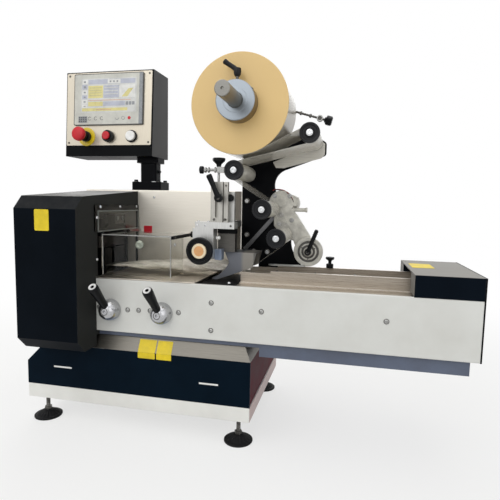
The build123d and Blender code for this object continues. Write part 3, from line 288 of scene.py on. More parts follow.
def makeSettledDust():
    # pale dust on what faces up
    group, given, made = newGroup("settledDust", {"Amount": 0.3, "Scale": 25.0}, {"Dust": 0.0})
    cloud = noise(group, objectPlace(group), given["Scale"], 6.0, 0.65)
    dusty = reckon(group, "MULTIPLY", ranged(group, agreement(group, toTop), 0.4, 0.95), cloud)
    group.links.new(reckon(group, "MULTIPLY", dusty, given["Amount"], use_clamp=True), made["Dust"])
    return group


paintSkin = makePaintSkin()
edgeWear = makeEdgeWear()
brushedGrain = makeBrushedGrain()
turnedLines = makeTurnedLines()
settledDust = makeSettledDust()


# Materials; a colour is red, green and blue out of 255

materials = {}
dustColor = (176, 172, 164)


def newMaterial(name, **sockets):
    material = bpy.data.materials.new(name)
    materials[name] = material
    material.use_nodes = True
    shader = material.node_tree.nodes["Principled BSDF"]
    for label, value in sockets.items():
        shader.inputs[label.replace("_", " ")].default_value = value
    return material.node_tree, shader


def useGroup(tree, group, **values):
    node = addNode(tree, "ShaderNodeGroup", node_tree=group)
    for label, value in values.items():
        node.inputs[label.replace("_", " ")].default_value = value
    return node.outputs


def mixColor(tree, share, first, second):
    feeds = {0: share, 6: first, 7: second}
    for key in (6, 7):
        if isinstance(feeds[key], tuple):
            feeds[key] = tint(feeds[key])
    return addNode(tree, "ShaderNodeMix", feeds, data_type="RGBA").outputs[2]


def shaded(color, share):
    return tuple(value * share for value in color)


def dress(tree, shader, body, height, strength, distance, normal=None, rough=None):
    # joins colour, relief and, where it changes over the surface, roughness to the shader
    relief = addNode(tree, "ShaderNodeBump", {"Height": height, "Strength": strength, "Distance": distance})
    if normal is not None:
        tree.links.new(normal, relief.inputs["Normal"])
    tree.links.new(relief.outputs[0], shader.inputs["Normal"])
    tree.links.new(body, shader.inputs["Base Color"])
    if rough is not None:
        tree.links.new(rough, shader.inputs["Roughness"])


# plates gives a colour to the faces that look along an axis; on several materials below it is painted light,
# shade or reflection, noted at each
def paintMaterial(name, color, dark, worn, rough=0.42, peel=0.12, wear=0.5, dust=0.12, radius=0.0012,
                  gloss=0.5, plates=()):
    tree, shader = newMaterial(name, Roughness=rough, Specular_IOR_Level=gloss)
    skin = useGroup(tree, paintSkin, Scale=850.0, Mottle_Scale=8.0)
    edges = useGroup(tree, edgeWear, Radius=radius, Amount=wear, Scale=70.0)
    dirt = useGroup(tree, settledDust, Amount=dust, Scale=30.0)
    body = mixColor(tree, ranged(tree, skin["Mottle"], 0.3, 0.7), dark, color)
    for axis, facingColor in plates:
        body = mixColor(tree, ranged(tree, agreement(tree, axis), 0.85, 0.97), body, facingColor)
    body = mixColor(tree, dirt["Dust"], body, dustColor)
    body = mixColor(tree, edges["Mask"], body, worn)
    dress(tree, shader, body, skin["Height"], peel, 0.0003, edges["Normal"],
          ranged(tree, skin["Mottle"], 0.25, 0.75, rough - 0.05, rough + 0.08))


def brushedMaterial(name, color, bright, stretch, rough=0.34, cloud=2.5, strength=0.1, metallic=1.0,
                    plates=()):
    tree, shader = newMaterial(name, Roughness=rough, Metallic=metallic)
    grain = useGroup(tree, brushedGrain, Stretch=stretch, Cloud_Scale=cloud)
    edges = useGroup(tree, edgeWear, Radius=0.001, Amount=0.45, Scale=90.0)
    body = mixColor(tree, ranged(tree, grain["Streak"], 0.3, 0.7), color, bright)
    body = mixColor(tree, ranged(tree, grain["Cloud"], 0.35, 0.75, 0, 0.5), body, color)
    for axis, facingColor in plates:
        body = mixColor(tree, ranged(tree, agreement(tree, axis), 0.55, 0.8), body, facingColor)
    body = mixColor(tree, edges["Mask"], body, (236, 234, 228))
    dress(tree, shader, body, grain["Streak"], strength, 0.0002, edges["Normal"],
          ranged(tree, grain["Streak"], 0.3, 0.7, rough - 0.07, rough + 0.1))


def plasticMaterial(name, color, rough=0.38, peel=0.1, gloss=0.5):
    tree, shader = newMaterial(name, Roughness=rough, Specular_IOR_Level=gloss)
    skin = useGroup(tree, paintSkin, Scale=1500.0, Mottle_Scale=24.0)
    edges = useGroup(tree, edgeWear, Radius=0.0006, Amount=0.25, Scale=120.0)
    light = tuple(min(255, value * 1.25 + 22) for value in color)
    body = mixColor(tree, ranged(tree, skin["Mottle"], 0.3, 0.7), shaded(color, 0.86), color)
    body = mixColor(tree, edges["Mask"], body, light)
    dress(tree, shader, body, skin["Height"], peel, 0.0002, edges["Normal"],
          ranged(tree, skin["Mottle"], 0.3, 0.7, rough - 0.05, rough + 0.07))


def turnedMaterial(name, color, bright, centre, rough=0.3, pitch=1400.0, along=1.0, metallic=1.0,
                   strength=0.12, plates=()):
    tree, shader = newMaterial(name, Roughness=rough, Metallic=metallic)
    lines = useGroup(tree, turnedLines, Centre=centre, Pitch=pitch, Along=along)["Lines"]
    edges = useGroup(tree, edgeWear, Radius=0.0008, Amount=0.4, Scale=110.0)
    body = mixColor(tree, ranged(tree, lines, 0.3, 0.7), color, bright)
    for axis, facingColor in plates:
        ringed = mixColor(tree, ranged(tree, lines, 0.3, 0.7, 0, 0.5), facingColor, shaded(facingColor, 0.86))
        body = mixColor(tree, ranged(tree, agreement(tree, axis), 0.55, 0.8), body, ringed)
    body = mixColor(tree, edges["Mask"], body, (240, 240, 238))
    dress(tree, shader, body, lines, strength, 0.0002, edges["Normal"],
          ranged(tree, lines, 0.3, 0.7, rough - 0.06, rough + 0.08))


def castMaterial(name, color, dark, rough=0.5, metallic=0.35):
    tree, shader = newMaterial(name, Roughness=rough, Metallic=metallic)
    skin = useGroup(tree, paintSkin, Scale=420.0, Mottle_Scale=45.0)
    edges = useGroup(tree, edgeWear, Radius=0.0012, Amount=0.6, Scale=80.0)
    body = mixColor(tree, ranged(tree, skin["Mottle"], 0.35, 0.65), dark, color)
    body = mixColor(tree, edges["Mask"], body, (206, 204, 198))
    dress(tree, shader, body, skin["Height"], 0.35, 0.0006, edges["Normal"])


def clearMaterial(name, color, rough=0.01, ior=1.22):
    # clear sheet: fine scuffs and a little haze keep it from looking empty
    tree, shader = newMaterial(name, Roughness=rough, IOR=ior, Transmission_Weight=1.0)
    mottle = useGroup(tree, paintSkin, Scale=60.0, Mottle_Scale=14.0)["Mottle"]
    haze = mixColor(tree, ranged(tree, mottle, 0.4, 0.7), color, shaded(color, 0.93))
    tree.links.new(haze, shader.inputs["Base Color"])
    tree.links.new(ranged(tree, mottle, 0.35, 0.75, rough, rough + 0.05), shader.inputs["Roughness"])


def alongObject(tree, axis, low, high, toLow=0.0, toHigh=1.0):
    # share of the way between two places along one axis
    split = addNode(tree, "ShaderNodeSeparateXYZ", {0: objectPlace(tree)})
    return ranged(tree, split.outputs[axis], low, high, toLow, toHigh)


def formerMaterial(name, left, right, edge):
    # bent steel: the cool left cheek and the warm right cheek are painted light and reflection on one steel
    # sheet, with a darker folded lip
    tree, shader = newMaterial(name, Roughness=0.42, Metallic=0.35)
    grain = useGroup(tree, brushedGrain, Stretch=(30, 30, 60), Cloud_Scale=6.0)
    edges = useGroup(tree, edgeWear, Radius=0.0008, Amount=0.3, Scale=90.0)
    fold = home.x + 0.388
    lip = home.x + 0.424
    body = mixColor(tree, alongObject(tree, "X", fold, fold + 0.010), left, right)
    body = mixColor(tree, alongObject(tree, "X", lip, lip + 0.004), body, edge)
    body = mixColor(tree, ranged(tree, grain["Cloud"], 0.4, 0.7, 0, 0.35), body, (72, 72, 74))
    body = mixColor(tree, edges["Mask"], body, (210, 208, 202))
    dress(tree, shader, body, grain["Streak"], 0.06, 0.0002, edges["Normal"])


def filmMaterial(name, color, bright, dark, lowShare, share, stretch):
    # thin packaging film: partly see-through, less so higher up, with soft bands of tension
    tree, shader = newMaterial(name, Roughness=0.2)
    grain = useGroup(tree, brushedGrain, Stretch=stretch, Cloud_Scale=9.0)
    body = mixColor(tree, ranged(tree, grain["Streak"], 0.35, 0.65), color, bright)
    body = mixColor(tree, ranged(tree, grain["Cloud"], 0.5, 0.75, 0, 0.7), body, dark)
    ripple = ranged(tree, grain["Streak"], 0.3, 0.7, -0.05, 0.05)
    cover = reckon(tree, "ADD", alongObject(tree, "Z", 0.68, 0.74, lowShare, share), ripple, use_clamp=True)
    tree.links.new(cover, shader.inputs["Alpha"])
    dress(tree, shader, body, grain["Streak"], 0.25, 0.0004)


# sealing housing paint: the lighter grey on upward faces is painted light from above; right-facing faces are
# greyer
paintMaterial("navyPaint", (9, 15, 22), (5, 10, 16), (84, 92, 100), gloss=0.03, rough=0.4,
              plates=[(toTop, (86, 86, 84)), (toRight, (46, 47, 46))])
# end cover paint: the grey on upward faces is painted light on the same navy sheet; left-facing faces are a
# lighter grey too
paintMaterial("coverPaint", (10, 18, 27), (6, 13, 21), (96, 102, 108), gloss=0.03, rough=0.42,
              plates=[(toTop, (146, 144, 139)), (toLeft, (120, 118, 114))])
paintMaterial("baseCoverPaint", (8, 23, 35), (5, 17, 28), (92, 100, 108), gloss=0.03, rough=0.42)
paintMaterial("plinthPaint", (86, 26, 38), (62, 18, 28), (140, 110, 108), gloss=0.03, rough=0.5)
paintMaterial("railPaint", (238, 238, 233), (226, 225, 220), (150, 146, 140), rough=0.4,
              wear=0.3, dust=0.2, plates=[(toRight, (196, 172, 168))])
paintMaterial("palePaint", (219, 220, 216), (209, 209, 204), (236, 234, 230), rough=0.36,
              peel=0.08, wear=0.3, dust=0.05, radius=0.002)
paintMaterial("channelPaint", (92, 102, 122), (78, 84, 100), (150, 158, 170), rough=0.35)
paintMaterial("blackPaint", (12, 13, 17), (8, 9, 12), (78, 80, 82), gloss=0.05, rough=0.4, dust=0.1)
paintMaterial("boxPaint", (11, 13, 15), (8, 10, 12), (92, 94, 96), gloss=0.05, rough=0.45,
              plates=[(toRight, (82, 82, 83))])
brushedMaterial("stripSteel", (92, 89, 84), (118, 115, 108), (3, 240, 240), rough=0.36)
# side guide steel: the paler colour on upward faces is a painted highlight from above
brushedMaterial("guideSteel", (158, 148, 136), (182, 173, 161), (3, 260, 260), rough=0.3,
                metallic=0.6, plates=[(toTop, (228, 223, 214))])
brushedMaterial("deckSteel", (186, 178, 166), (206, 199, 188), (3, 240, 240), rough=0.34)
brushedMaterial("cabinetSteel", (228, 222, 210), (240, 235, 225), (4, 4, 320), rough=0.42,
                cloud=5.0, metallic=0.6)
brushedMaterial("fasciaSteel", (176, 168, 152), (196, 189, 175), (200, 4, 4), rough=0.42,
                metallic=0.7)
brushedMaterial("zincSteel", (140, 140, 138), (170, 170, 168), (120, 120, 120), rough=0.3)
brushedMaterial("oiledSteel", (70, 68, 66), (104, 102, 98), (90, 90, 90), rough=0.38)
brushedMaterial("brightAluminium", (182, 182, 180), (198, 198, 196), (60, 60, 6),
                rough=0.4, metallic=0.8)
castMaterial("castGrey", (216, 214, 205), (180, 178, 170), metallic=0.15)
plasticMaterial("blackPlastic", (22, 22, 25), rough=0.36, gloss=0.2)
plasticMaterial("blackRubber", (24, 24, 26), rough=0.6, peel=0.3, gloss=0.15)
plasticMaterial("signalRed", (205, 34, 46), rough=0.35, gloss=0.3)
plasticMaterial("signalYellow", (235, 205, 30), rough=0.34)
plasticMaterial("signalWhite", (252, 252, 249), rough=0.3)
plasticMaterial("labelYellow", (240, 212, 20), rough=0.45, peel=0.04)
clearMaterial("clearSheet", (232, 232, 228))
plasticMaterial("bezelEdge", (62, 63, 62), rough=0.4)
plasticMaterial("bezelFace", (206, 206, 197), rough=0.32, peel=0.03)
plasticMaterial("capPlastic", (24, 25, 28), rough=0.34, gloss=0.2)
brushedMaterial("brightSteel", (196, 198, 200), (222, 223, 224), (90, 90, 90), rough=0.25)
# reel shaft steel: the darker colour on front-facing faces is painted shade on the shaft's end
brushedMaterial("shaftSteel", (134, 131, 122), (152, 149, 140), (5, 5, 260), rough=0.34,
                plates=[(toFront, (112, 111, 107))])
brushedMaterial("rollerAluminium", (206, 203, 193), (226, 224, 214), (6, 4, 6), rough=0.36,
                metallic=0.35)
castMaterial("cardboard", (150, 122, 88), (128, 102, 72), rough=0.8, metallic=0.0)
plasticMaterial("gripBlack", (13, 15, 18), rough=0.32, gloss=0.14)
plasticMaterial("capWhite", (236, 236, 234), rough=0.3)
plasticMaterial("capCream", (250, 232, 196), rough=0.36, peel=0.04)
plasticMaterial("capTan", (232, 172, 112), rough=0.36, peel=0.04)
plasticMaterial("gasketGrey", (120, 124, 118), rough=0.4)
plasticMaterial("leadRed", (168, 30, 30), rough=0.4)
plasticMaterial("leadBlack", (30, 30, 32), rough=0.45)
plasticMaterial("labelRed", (206, 20, 40), rough=0.45, peel=0.04)
# pale plastic for the rods that paint highlights on the guard's edges
plasticMaterial("guardEdge", (196, 196, 196), rough=0.25, peel=0.03)
# lever cone steel: the blue tint on downward faces is a painted reflection
brushedMaterial("hubSteel", (176, 176, 178), (186, 187, 190), (500, 500, 500), rough=0.22, cloud=1.0,
                strength=0.03, plates=[(toBottom, (126, 142, 170))])
castMaterial("discSteel", (214, 212, 203), (190, 188, 180), rough=0.42, metallic=0.2)
castMaterial("discDark", (96, 94, 90), (74, 72, 70), rough=0.5, metallic=0.2)
brushedMaterial("slideAluminium", (156, 154, 148), (176, 174, 168), (60, 60, 8), rough=0.4)
brushedMaterial("blueTab", (124, 136, 156), (142, 154, 174), (120, 120, 12), rough=0.4, metallic=0.6)
brushedMaterial("brassPlate", (176, 168, 140), (196, 188, 160), (60, 60, 60), rough=0.36)
brushedMaterial("knobAluminium", (124, 129, 118), (146, 151, 140), (60, 60, 60), rough=0.26)
brushedMaterial("guideBar", (92, 92, 94), (112, 112, 114), (60, 60, 60), rough=0.42)
# dark steel for the strip of painted shade on the cabinet's end corner
brushedMaterial("bandSteel", (104, 99, 92), (118, 113, 106), (4, 4, 320), rough=0.5)
filmMaterial("filmClear", (196, 192, 182), (236, 232, 222), (130, 128, 124), 0.16, 0.66, (3, 110, 3))
filmMaterial("filmCrumple", (232, 225, 212), (250, 245, 235), (186, 176, 164), 0.94, 0.94, (20, 90, 60))
# dull black for dark parts, also used for the painted shade in the deck opening
plasticMaterial("throatBlack", (10, 11, 13), rough=0.5, gloss=0.1)
brushedMaterial("guideDark", (84, 82, 79), (100, 98, 94), (8, 60, 60), rough=0.5)
plasticMaterial("driveBrown", (44, 40, 39), rough=0.5, gloss=0.1)
plasticMaterial("studGrey", (120, 122, 120), rough=0.4, gloss=0.2)
brushedMaterial("armSheet", (196, 193, 184), (216, 213, 204), (4, 60, 60), rough=0.45,
                metallic=0.4)
formerMaterial("formerSteel", (108, 111, 118), (142, 138, 131), (96, 94, 90))
for name, color in {"displayPale": (214, 215, 212), "displayWhite": (232, 232, 228),
                    "displayBlue": (184, 188, 202), "displayGrey": (140, 144, 148),
                    "displayDark": (72, 74, 76), "displayYellow": (222, 212, 138),
                    "displaySand": (204, 196, 140), "displayOrange": (214, 168, 142)}.items():
    plasticMaterial(name, color, rough=0.28, peel=0.02)
rollPlace = roundPart("film_roll")[0]
turnedMaterial("rollFace", (212, 178, 116), (226, 196, 136), rollPlace, rough=0.42,
               pitch=2600.0, along=0.0, metallic=0.0, strength=0.1)
turnedMaterial("rollSide", (155, 149, 137), (165, 159, 147), rollPlace, rough=0.24,
               pitch=900.0, along=1.0, metallic=0.15, strength=0.05)
turnedMaterial("collarAluminium", (122, 112, 98), (142, 132, 118), rollPlace,
               rough=0.34, pitch=1500.0, along=1.0,
               plates=[(toFront, (136, 143, 150))])
print("materials made:", len(materials))

nodeFinish = {
    "base_rail": "railPaint", "base_plinth": "plinthPaint", "base_front_cover": "baseCoverPaint",
    "base_strip": "stripSteel", "beam_front_panel": "palePaint", "beam_rear_panel": "palePaint",
    "beam_deck": "deckSteel", "sealing_deck": "deckSteel", "beam_channel": "channelPaint",
    "beam_end_plate": "blackPaint", "infeed_end_cover": "coverPaint", "infeed_chain": "oiledSteel",
    "chain_sprockets": "oiledSteel", "front_side_guide": "guideSteel", "rear_side_guide": "guideSteel",
    "sealing_housing": "navyPaint", "housing_window": "clearSheet", "jaw_frame": "blackPaint",
    "upper_jaw": "zincSteel", "lower_jaw": "zincSteel", "rear_cabinet": "cabinetSteel",
    "clear_guard": "clearSheet", "guard_arms": "blackPaint", "guard_bracket": "zincSteel",
    "hmi_pedestal": "blackPaint", "hmi_box": "boxPaint", "hmi_fascia": "fasciaSteel",
    "film_support_plate": "blackPaint", "feed_gearbox": "castGrey", "forming_box": "formerSteel",
    "former_bracket": "brightAluminium",
}
for nodeName, finish in nodeFinish.items():
    mesh = nodes[nodeName].data
    mesh.materials.clear()
    mesh.materials.append(materials[finish])

# Makers of meshes; each piece is a shell of faces with its own list of skins

def newShell():
    return {"bm": bmesh.new(), "skins": []}


def skinIndex(shell, skin):
    if skin not in shell["skins"]:
        shell["skins"].append(skin)
    return shell["skins"].index(skin)


def addFaces(shell, rings, skin, closed=False, ends=True):
    # joins rings of points into a skin; a ring of one point closes like a tip.
    # skin is one name, or a list with a name for each stretch between two rings
    bm = shell["bm"]
    made = [[bm.verts.new(point) for point in ring] for ring in rings]
    names = skin if isinstance(skin, list) else [skin] * (len(rings) + 1)
    faces = []
    pairs = list(zip(made, made[1:]))
    if closed:
        pairs.append((made[-1], made[0]))
    for (first, second), name in zip(pairs, names):
        index = skinIndex(shell, name)
        count = max(len(first), len(second))
        for step in range(count):
            after = (step + 1) % count
            corners = []
            for vert in (first[step % len(first)], first[after % len(first)],
                         second[after % len(second)], second[step % len(second)]):
                if vert not in corners:
                    corners.append(vert)
            if len(corners) > 2:
                faces.append(bm.faces.new(corners))
                faces[-1].material_index = index
    if ends and not closed:
        for ring in (made[0], made[-1]):
            if len(ring) > 2:
                faces.append(bm.faces.new(ring))
                faces[-1].material_index = skinIndex(shell, names[0])
    return faces


def roundEdges(shell, faces, size, angle=35, segments=2):
    edges = set()
    inside = set(faces)
    for face in faces:
        for edge in face.edges:
            if len(edge.link_faces) == 2 and inside.issuperset(edge.link_faces):
                if edge.calc_face_angle(0) > math.radians(angle):
                    edges.add(edge)
    bmesh.ops.bevel(shell["bm"], geom=list(edges), offset=size, offset_type="OFFSET", segments=segments,
                    profile=0.6, affect="EDGES", clamp_overlap=True)


def addLathe(shell, centre, along, profile, skin, steps=48, closed=False, wave=None):
    # profile holds (radius, distance along the axis)
    direction = Vector(along).normalized()
    side = Vector(toTop) if abs(direction.z) < 0.9 else Vector(toRight)
    side = (side - direction * side.dot(direction)).normalized()
    other = direction.cross(side)
    rings = []
    for radius, distance in profile:
        level = centre + direction * distance
        if radius < 1e-6:
            rings.append([level])
            continue
        ring = []
        for step in range(steps):
            angle = 2 * math.pi * step / steps
            reach = radius * (wave(distance, angle) if wave else 1)
            ring.append(level + side * (reach * math.cos(angle)) + other * (reach * math.sin(angle)))
        rings.append(ring)
    return addFaces(shell, rings, skin, closed)


def addPrism(shell, outline, origin, right, up, depth, skin, bevel=0.0, segments=2):
    # outline lies in right and up, and is carried along right x up
    right = Vector(right).normalized()
    up = Vector(up).normalized()
    out = right.cross(up)
    rings = [[origin + right * u + up * v + out * step for u, v in outline] for step in (0, depth)]
    faces = addFaces(shell, rings, skin)
    if bevel:
        roundEdges(shell, faces, bevel, segments=segments)
    return faces


def addBlock(shell, low, high, skin, bevel=0.0005):
    outline = [(0, 0), (high.x - low.x, 0), (high.x - low.x, high.z - low.z), (0, high.z - low.z)]
    origin = Vector((low.x, high.y, low.z))
    return addPrism(shell, outline, origin, toRight, toTop, high.y - low.y, skin, bevel)


def addSlotted(shell, outer, inner, origin, depth, skin, up=toTop):
    # flat plate with a hole: outline and hole are joined by filled caps
    bm = shell["bm"]
    index = skinIndex(shell, skin)
    right = Vector(toRight)
    up = Vector(up)
    away = up.cross(right) * depth
    sides = []
    for outline in (outer, inner):
        front = [bm.verts.new(origin + right * u + up * v) for u, v in outline]
        back = [bm.verts.new(vert.co + away) for vert in front]
        for step in range(len(front)):
            after = (step + 1) % len(front)
            face = bm.faces.new((front[step], front[after], back[after], back[step]))
            face.material_index = index
        sides.append((front, back))
    for layer in (0, 1):
        edges = []
        for side in sides:
            loop = side[layer]
            edges += [bm.edges.get((loop[step], loop[(step + 1) % len(loop)])) for step in range(len(loop))]
        filled = bmesh.ops.triangle_fill(bm, edges=edges, use_beauty=True)
        for face in filled["geom"]:
            if isinstance(face, bmesh.types.BMFace):
                face.material_index = index


def roundedRect(width, height, radius, steps=5):
    outline = []
    for index, (x, y) in enumerate(((1, 1), (-1, 1), (-1, -1), (1, -1))):
        for step in range(steps + 1):
            angle = math.pi / 2 * (index + step / steps)
            outline.append((x * (width / 2 - radius) + radius * math.cos(angle),
                            y * (height / 2 - radius) + radius * math.sin(angle)))
    return outline


def smoothPath(points, steps=8):
    # soft curve through given points
    points = [Vector(point) for point in points]
    ends = [points[0] * 2 - points[1]] + points + [points[-1] * 2 - points[-2]]
    path = []
    for before, start, end, after in zip(ends, ends[1:], ends[2:], ends[3:]):
        bend = before * 2 - start * 5 + end * 4 - after
        twist = start * 3 - before - end * 3 + after
        for step in range(steps):
            t = step / steps
            path.append(0.5 * (start * 2 + (end - before) * t + bend * t * t + twist * t * t * t))
    path.append(points[-1])
    return path


def addTube(shell, points, radius, skin, steps=12):
    # round bar along points; radius may be a function of the share of the way
    points = [Vector(point) for point in points]
    rings = []
    side = None
    for index, point in enumerate(points):
        ahead = (points[min(index + 1, len(points) - 1)] - points[max(index - 1, 0)]).normalized()
        if side is None:
            side = ahead.orthogonal().normalized()
        side = (side - ahead * side.dot(ahead)).normalized()
        other = ahead.cross(side)
        size = radius(index / (len(points) - 1)) if callable(radius) else radius
        rings.append([point + side * (size * math.cos(2 * math.pi * step / steps))
                      + other * (size * math.sin(2 * math.pi * step / steps)) for step in range(steps)])
    return addFaces(shell, rings, skin)


def between(start, end, steps):
    return [start.lerp(end, step / steps) for step in range(steps + 1)]


def ribbed(depth, count, start=-1.0, end=1.0):
    # wave for addLathe: ribs round the axis, between two places along it
    def wave(distance, angle):
        return 1 + (depth * math.cos(count * angle) if start < distance < end else 0)
    return wave


def disc(radius, height):
    return [(0, 0), (radius, 0), (radius, height), (0, height)]


def nut(radius, height, inset, edge):
    return [(0, 0), (radius - inset, 0), (radius, edge), (radius, height - edge), (radius - inset, height),
            (0, height)]


def addThread(shell, start, end, turns, radius, depth, skin):
    addTube(shell, between(start, end, turns), lambda share: radius - depth * (round(share * turns) % 2),
            skin, 16)


def addScrew(shell, place, out, radius, skin, kind="dome", height=None):
    # dome head with a hex socket, or a socket cap or hex head
    height = height or radius * 0.6
    socket = radius * 0.5
    if kind == "hex":
        addLathe(shell, place, out, [
            (0, 0), (radius, 0), (radius, height * 0.85), (radius * 0.9, height), (0, height)], skin, steps=6)
        return
    if kind == "dome":
        head = [
            (0, 0), (radius, 0), (radius, height * 0.25), (radius * 0.85, height * 0.68), (socket, height)]
    else:
        head = [(0, 0), (radius, 0), (radius, height * 0.85), (radius * 0.9, height), (socket, height)]
    addLathe(shell, place, out, head + [(socket, height * 0.35), (0, height * 0.35)], skin, steps=24)


def finishShell(shell, name, body, hides=(), angle=34):
    bm = shell["bm"]
    bmesh.ops.recalc_face_normals(bm, faces=bm.faces[:])
    mesh = bpy.data.meshes.new(name)
    bm.to_mesh(mesh)
    bm.free()
    for skin in shell["skins"]:
        mesh.materials.append(materials[skin])
    for polygon in mesh.polygons:
        polygon.use_smooth = True
    mesh.set_sharp_from_angle(angle=math.radians(angle))
    piece = bpy.data.objects.new(name, mesh)
    scene.collection.objects.link(piece)
    shade = piece.modifiers.new("evenShading", "WEIGHTED_NORMAL")
    shade.keep_sharp = True
    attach(piece, body)
    if hides:
        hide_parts(*hides)
    return piece


# Levelling feet

footLook = {
    "padRadius": 0.040, "coneRadius": 0.031, "coneFoot": 0.0075, "coneTop": 0.021, "neck": 0.0145, "ribs": 18,
    "ribDepth": 0.05, "studRadius": 0.006, "threadPitch": 0.002, "threadDepth": 0.0006, "nutFlats": 0.019,
    "nutHeight": 0.009,
}


def makeFeet(look):
    shell = newShell()
    low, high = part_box("levelling_feet")
    pad = look["padRadius"]
    cone = look["coneRadius"]
    neck = look["neck"]
    top = look["coneTop"]
    stud = look["studRadius"]
    rubber = [(0, 0), (pad * 0.97, 0), (pad, 0.0015), (pad, 0.005), (pad * 0.95, 0.0065), (pad * 0.82, 0.007),
              (cone, look["coneFoot"]), ((cone + neck) / 2, 0.0135), (neck + 0.002, 0.0178), (neck, 0.0195),
              (neck * 0.8, top), (stud, top)]
    ribs = ribbed(look["ribDepth"], look["ribs"], look["coneFoot"] - 1e-4, top - 0.002)
    pitch = look["threadPitch"] / 2
    thread = [(stud - look["threadDepth"] * (turn % 2), top + turn * pitch)
              for turn in range(int((high.z - top) / (pitch * 2)) * 2 + 1)]
    thread = [(0, top)] + thread + [(0, thread[-1][1])]
    across = look["nutFlats"] / math.sqrt(3)
    hexNut = nut(across, look["nutHeight"], across * 0.07, 0.001)
    for x in (low.x + pad, high.x - pad):
        for y in (low.y + pad, high.y - pad):
            foot = Vector((x, y, 0))
            addLathe(shell, foot, toTop, rubber, "blackRubber", steps=108, wave=ribs)
            addLathe(shell, foot, toTop, thread, "oiledSteel", steps=20)
            for level in (top, high.z - look["nutHeight"]):
                addLathe(shell, foot + Vector((0, 0, level)), toTop, hexNut, "oiledSteel", steps=6)
    finishShell(shell, "levelling_foot_set", "machine", ["levelling_feet"])


makeFeet(footLook)
print("feet made")


# Base, beam and housing trim

trimLook = {
    "plateThickness": 0.0006,
    "dashes": [(-0.140, 0.058, 0.1722), (0.306, 0.054, 0.1690)],
    "dashHeight": 0.0045,
    "coverPlates": [(0.126, 0.051), (0.181, 0.044)],
    "coverPlateLow": 0.223,
    "coverPlateRise": 0.0365,
    "stripLean": 0.4791,
    "beamScrews": [(0.0085, 0.359), (0.096, 0.357), (0.129, 0.358), (0.163, 0.359), (0.246, 0.360),
                   (0.338, 0.393), (0.338, 0.318), (0.474, 0.379), (0.786, 0.377)],
    "beamScrewRadius": 0.0058,
    "housingPlate": (-0.0991, 0.6038, 0.043, 0.056),
    "housingScrews": [(0.023, 0.640), (0.135, 0.640), (0.242, 0.641), (0.004, 0.610), (0.007, 0.493)],
    "housingScrewRadius": 0.0042,
    "windowFrame": (0.57, 0.003),
    "endCoverPlate": (0.8865, 0.185, 0.057, 0.090),
}


def addPlate(shell, centre, up, width, height, skin, thickness, radius):
    # plain plate along x, sunk a little into what carries it
    out = Vector(toRight).cross(Vector(up)).normalized()
    addPrism(shell, roundedRect(width, height, radius), centre - out * thickness * 0.2, toRight, up,
             thickness * 1.2, skin)


def makeTrim(look):
    thin = look["plateThickness"]
    plates = newShell()
    for x, width, z in look["dashes"]:
        addPlate(plates, spot(x + width / 2, 0, z), toTop, width, look["dashHeight"], "signalWhite", thin,
                 0.001)
    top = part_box("base_front_cover")[1].z
    low = look["coverPlateLow"]
    rise = look["coverPlateRise"]
    lean = Vector((0, math.sin(look["stripLean"]), math.cos(look["stripLean"])))
    for x, width in look["coverPlates"]:
        middle = x + width / 2
        addPlate(plates, spot(middle, 0, (low + top) / 2), toTop, width, top - low, "labelYellow", thin,
                 0.002)
        addPlate(plates, spot(middle, 0.0002, top) + lean * (rise / 2), lean, width, rise, "labelYellow",
                 thin, 0.002)
    x, z, width, height = look["housingPlate"]
    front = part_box("sealing_housing")[0].y
    addPlate(plates, Vector((home.x + x, front, z)), toTop, width, height, "labelYellow", thin, 0.004)
    x, y, width, depth = look["endCoverPlate"]
    addPlate(plates, spot(x, y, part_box("infeed_end_cover")[1].z), toBack, width, depth, "labelYellow", thin,
             0.004)
    finishShell(plates, "blank_plates", "machine")

    screws = newShell()
    radius = look["beamScrewRadius"]
    for x, z in look["beamScrews"]:
        # a dark washer-shaped ring under each screw is painted shadow round its dome
        addLathe(screws, spot(x, 0, z), toFront, [
            (0, 0), (radius * 1.2, 0), (radius * 1.2, 0.0004), (0, 0.0007)], "oiledSteel", 32)
        addScrew(screws, spot(x, -0.0006, z), toFront, radius, "zincSteel")
    frameLow, frameThickness = look["windowFrame"]
    for y, z in look["housingScrews"]:
        addScrew(screws, spot(frameThickness if z > frameLow else 0, y, z), toRight,
                 look["housingScrewRadius"], "brightSteel")
    finishShell(screws, "front_screws", "machine")


makeTrim(trimLook)
print("plates and front screws made")


# Control panel

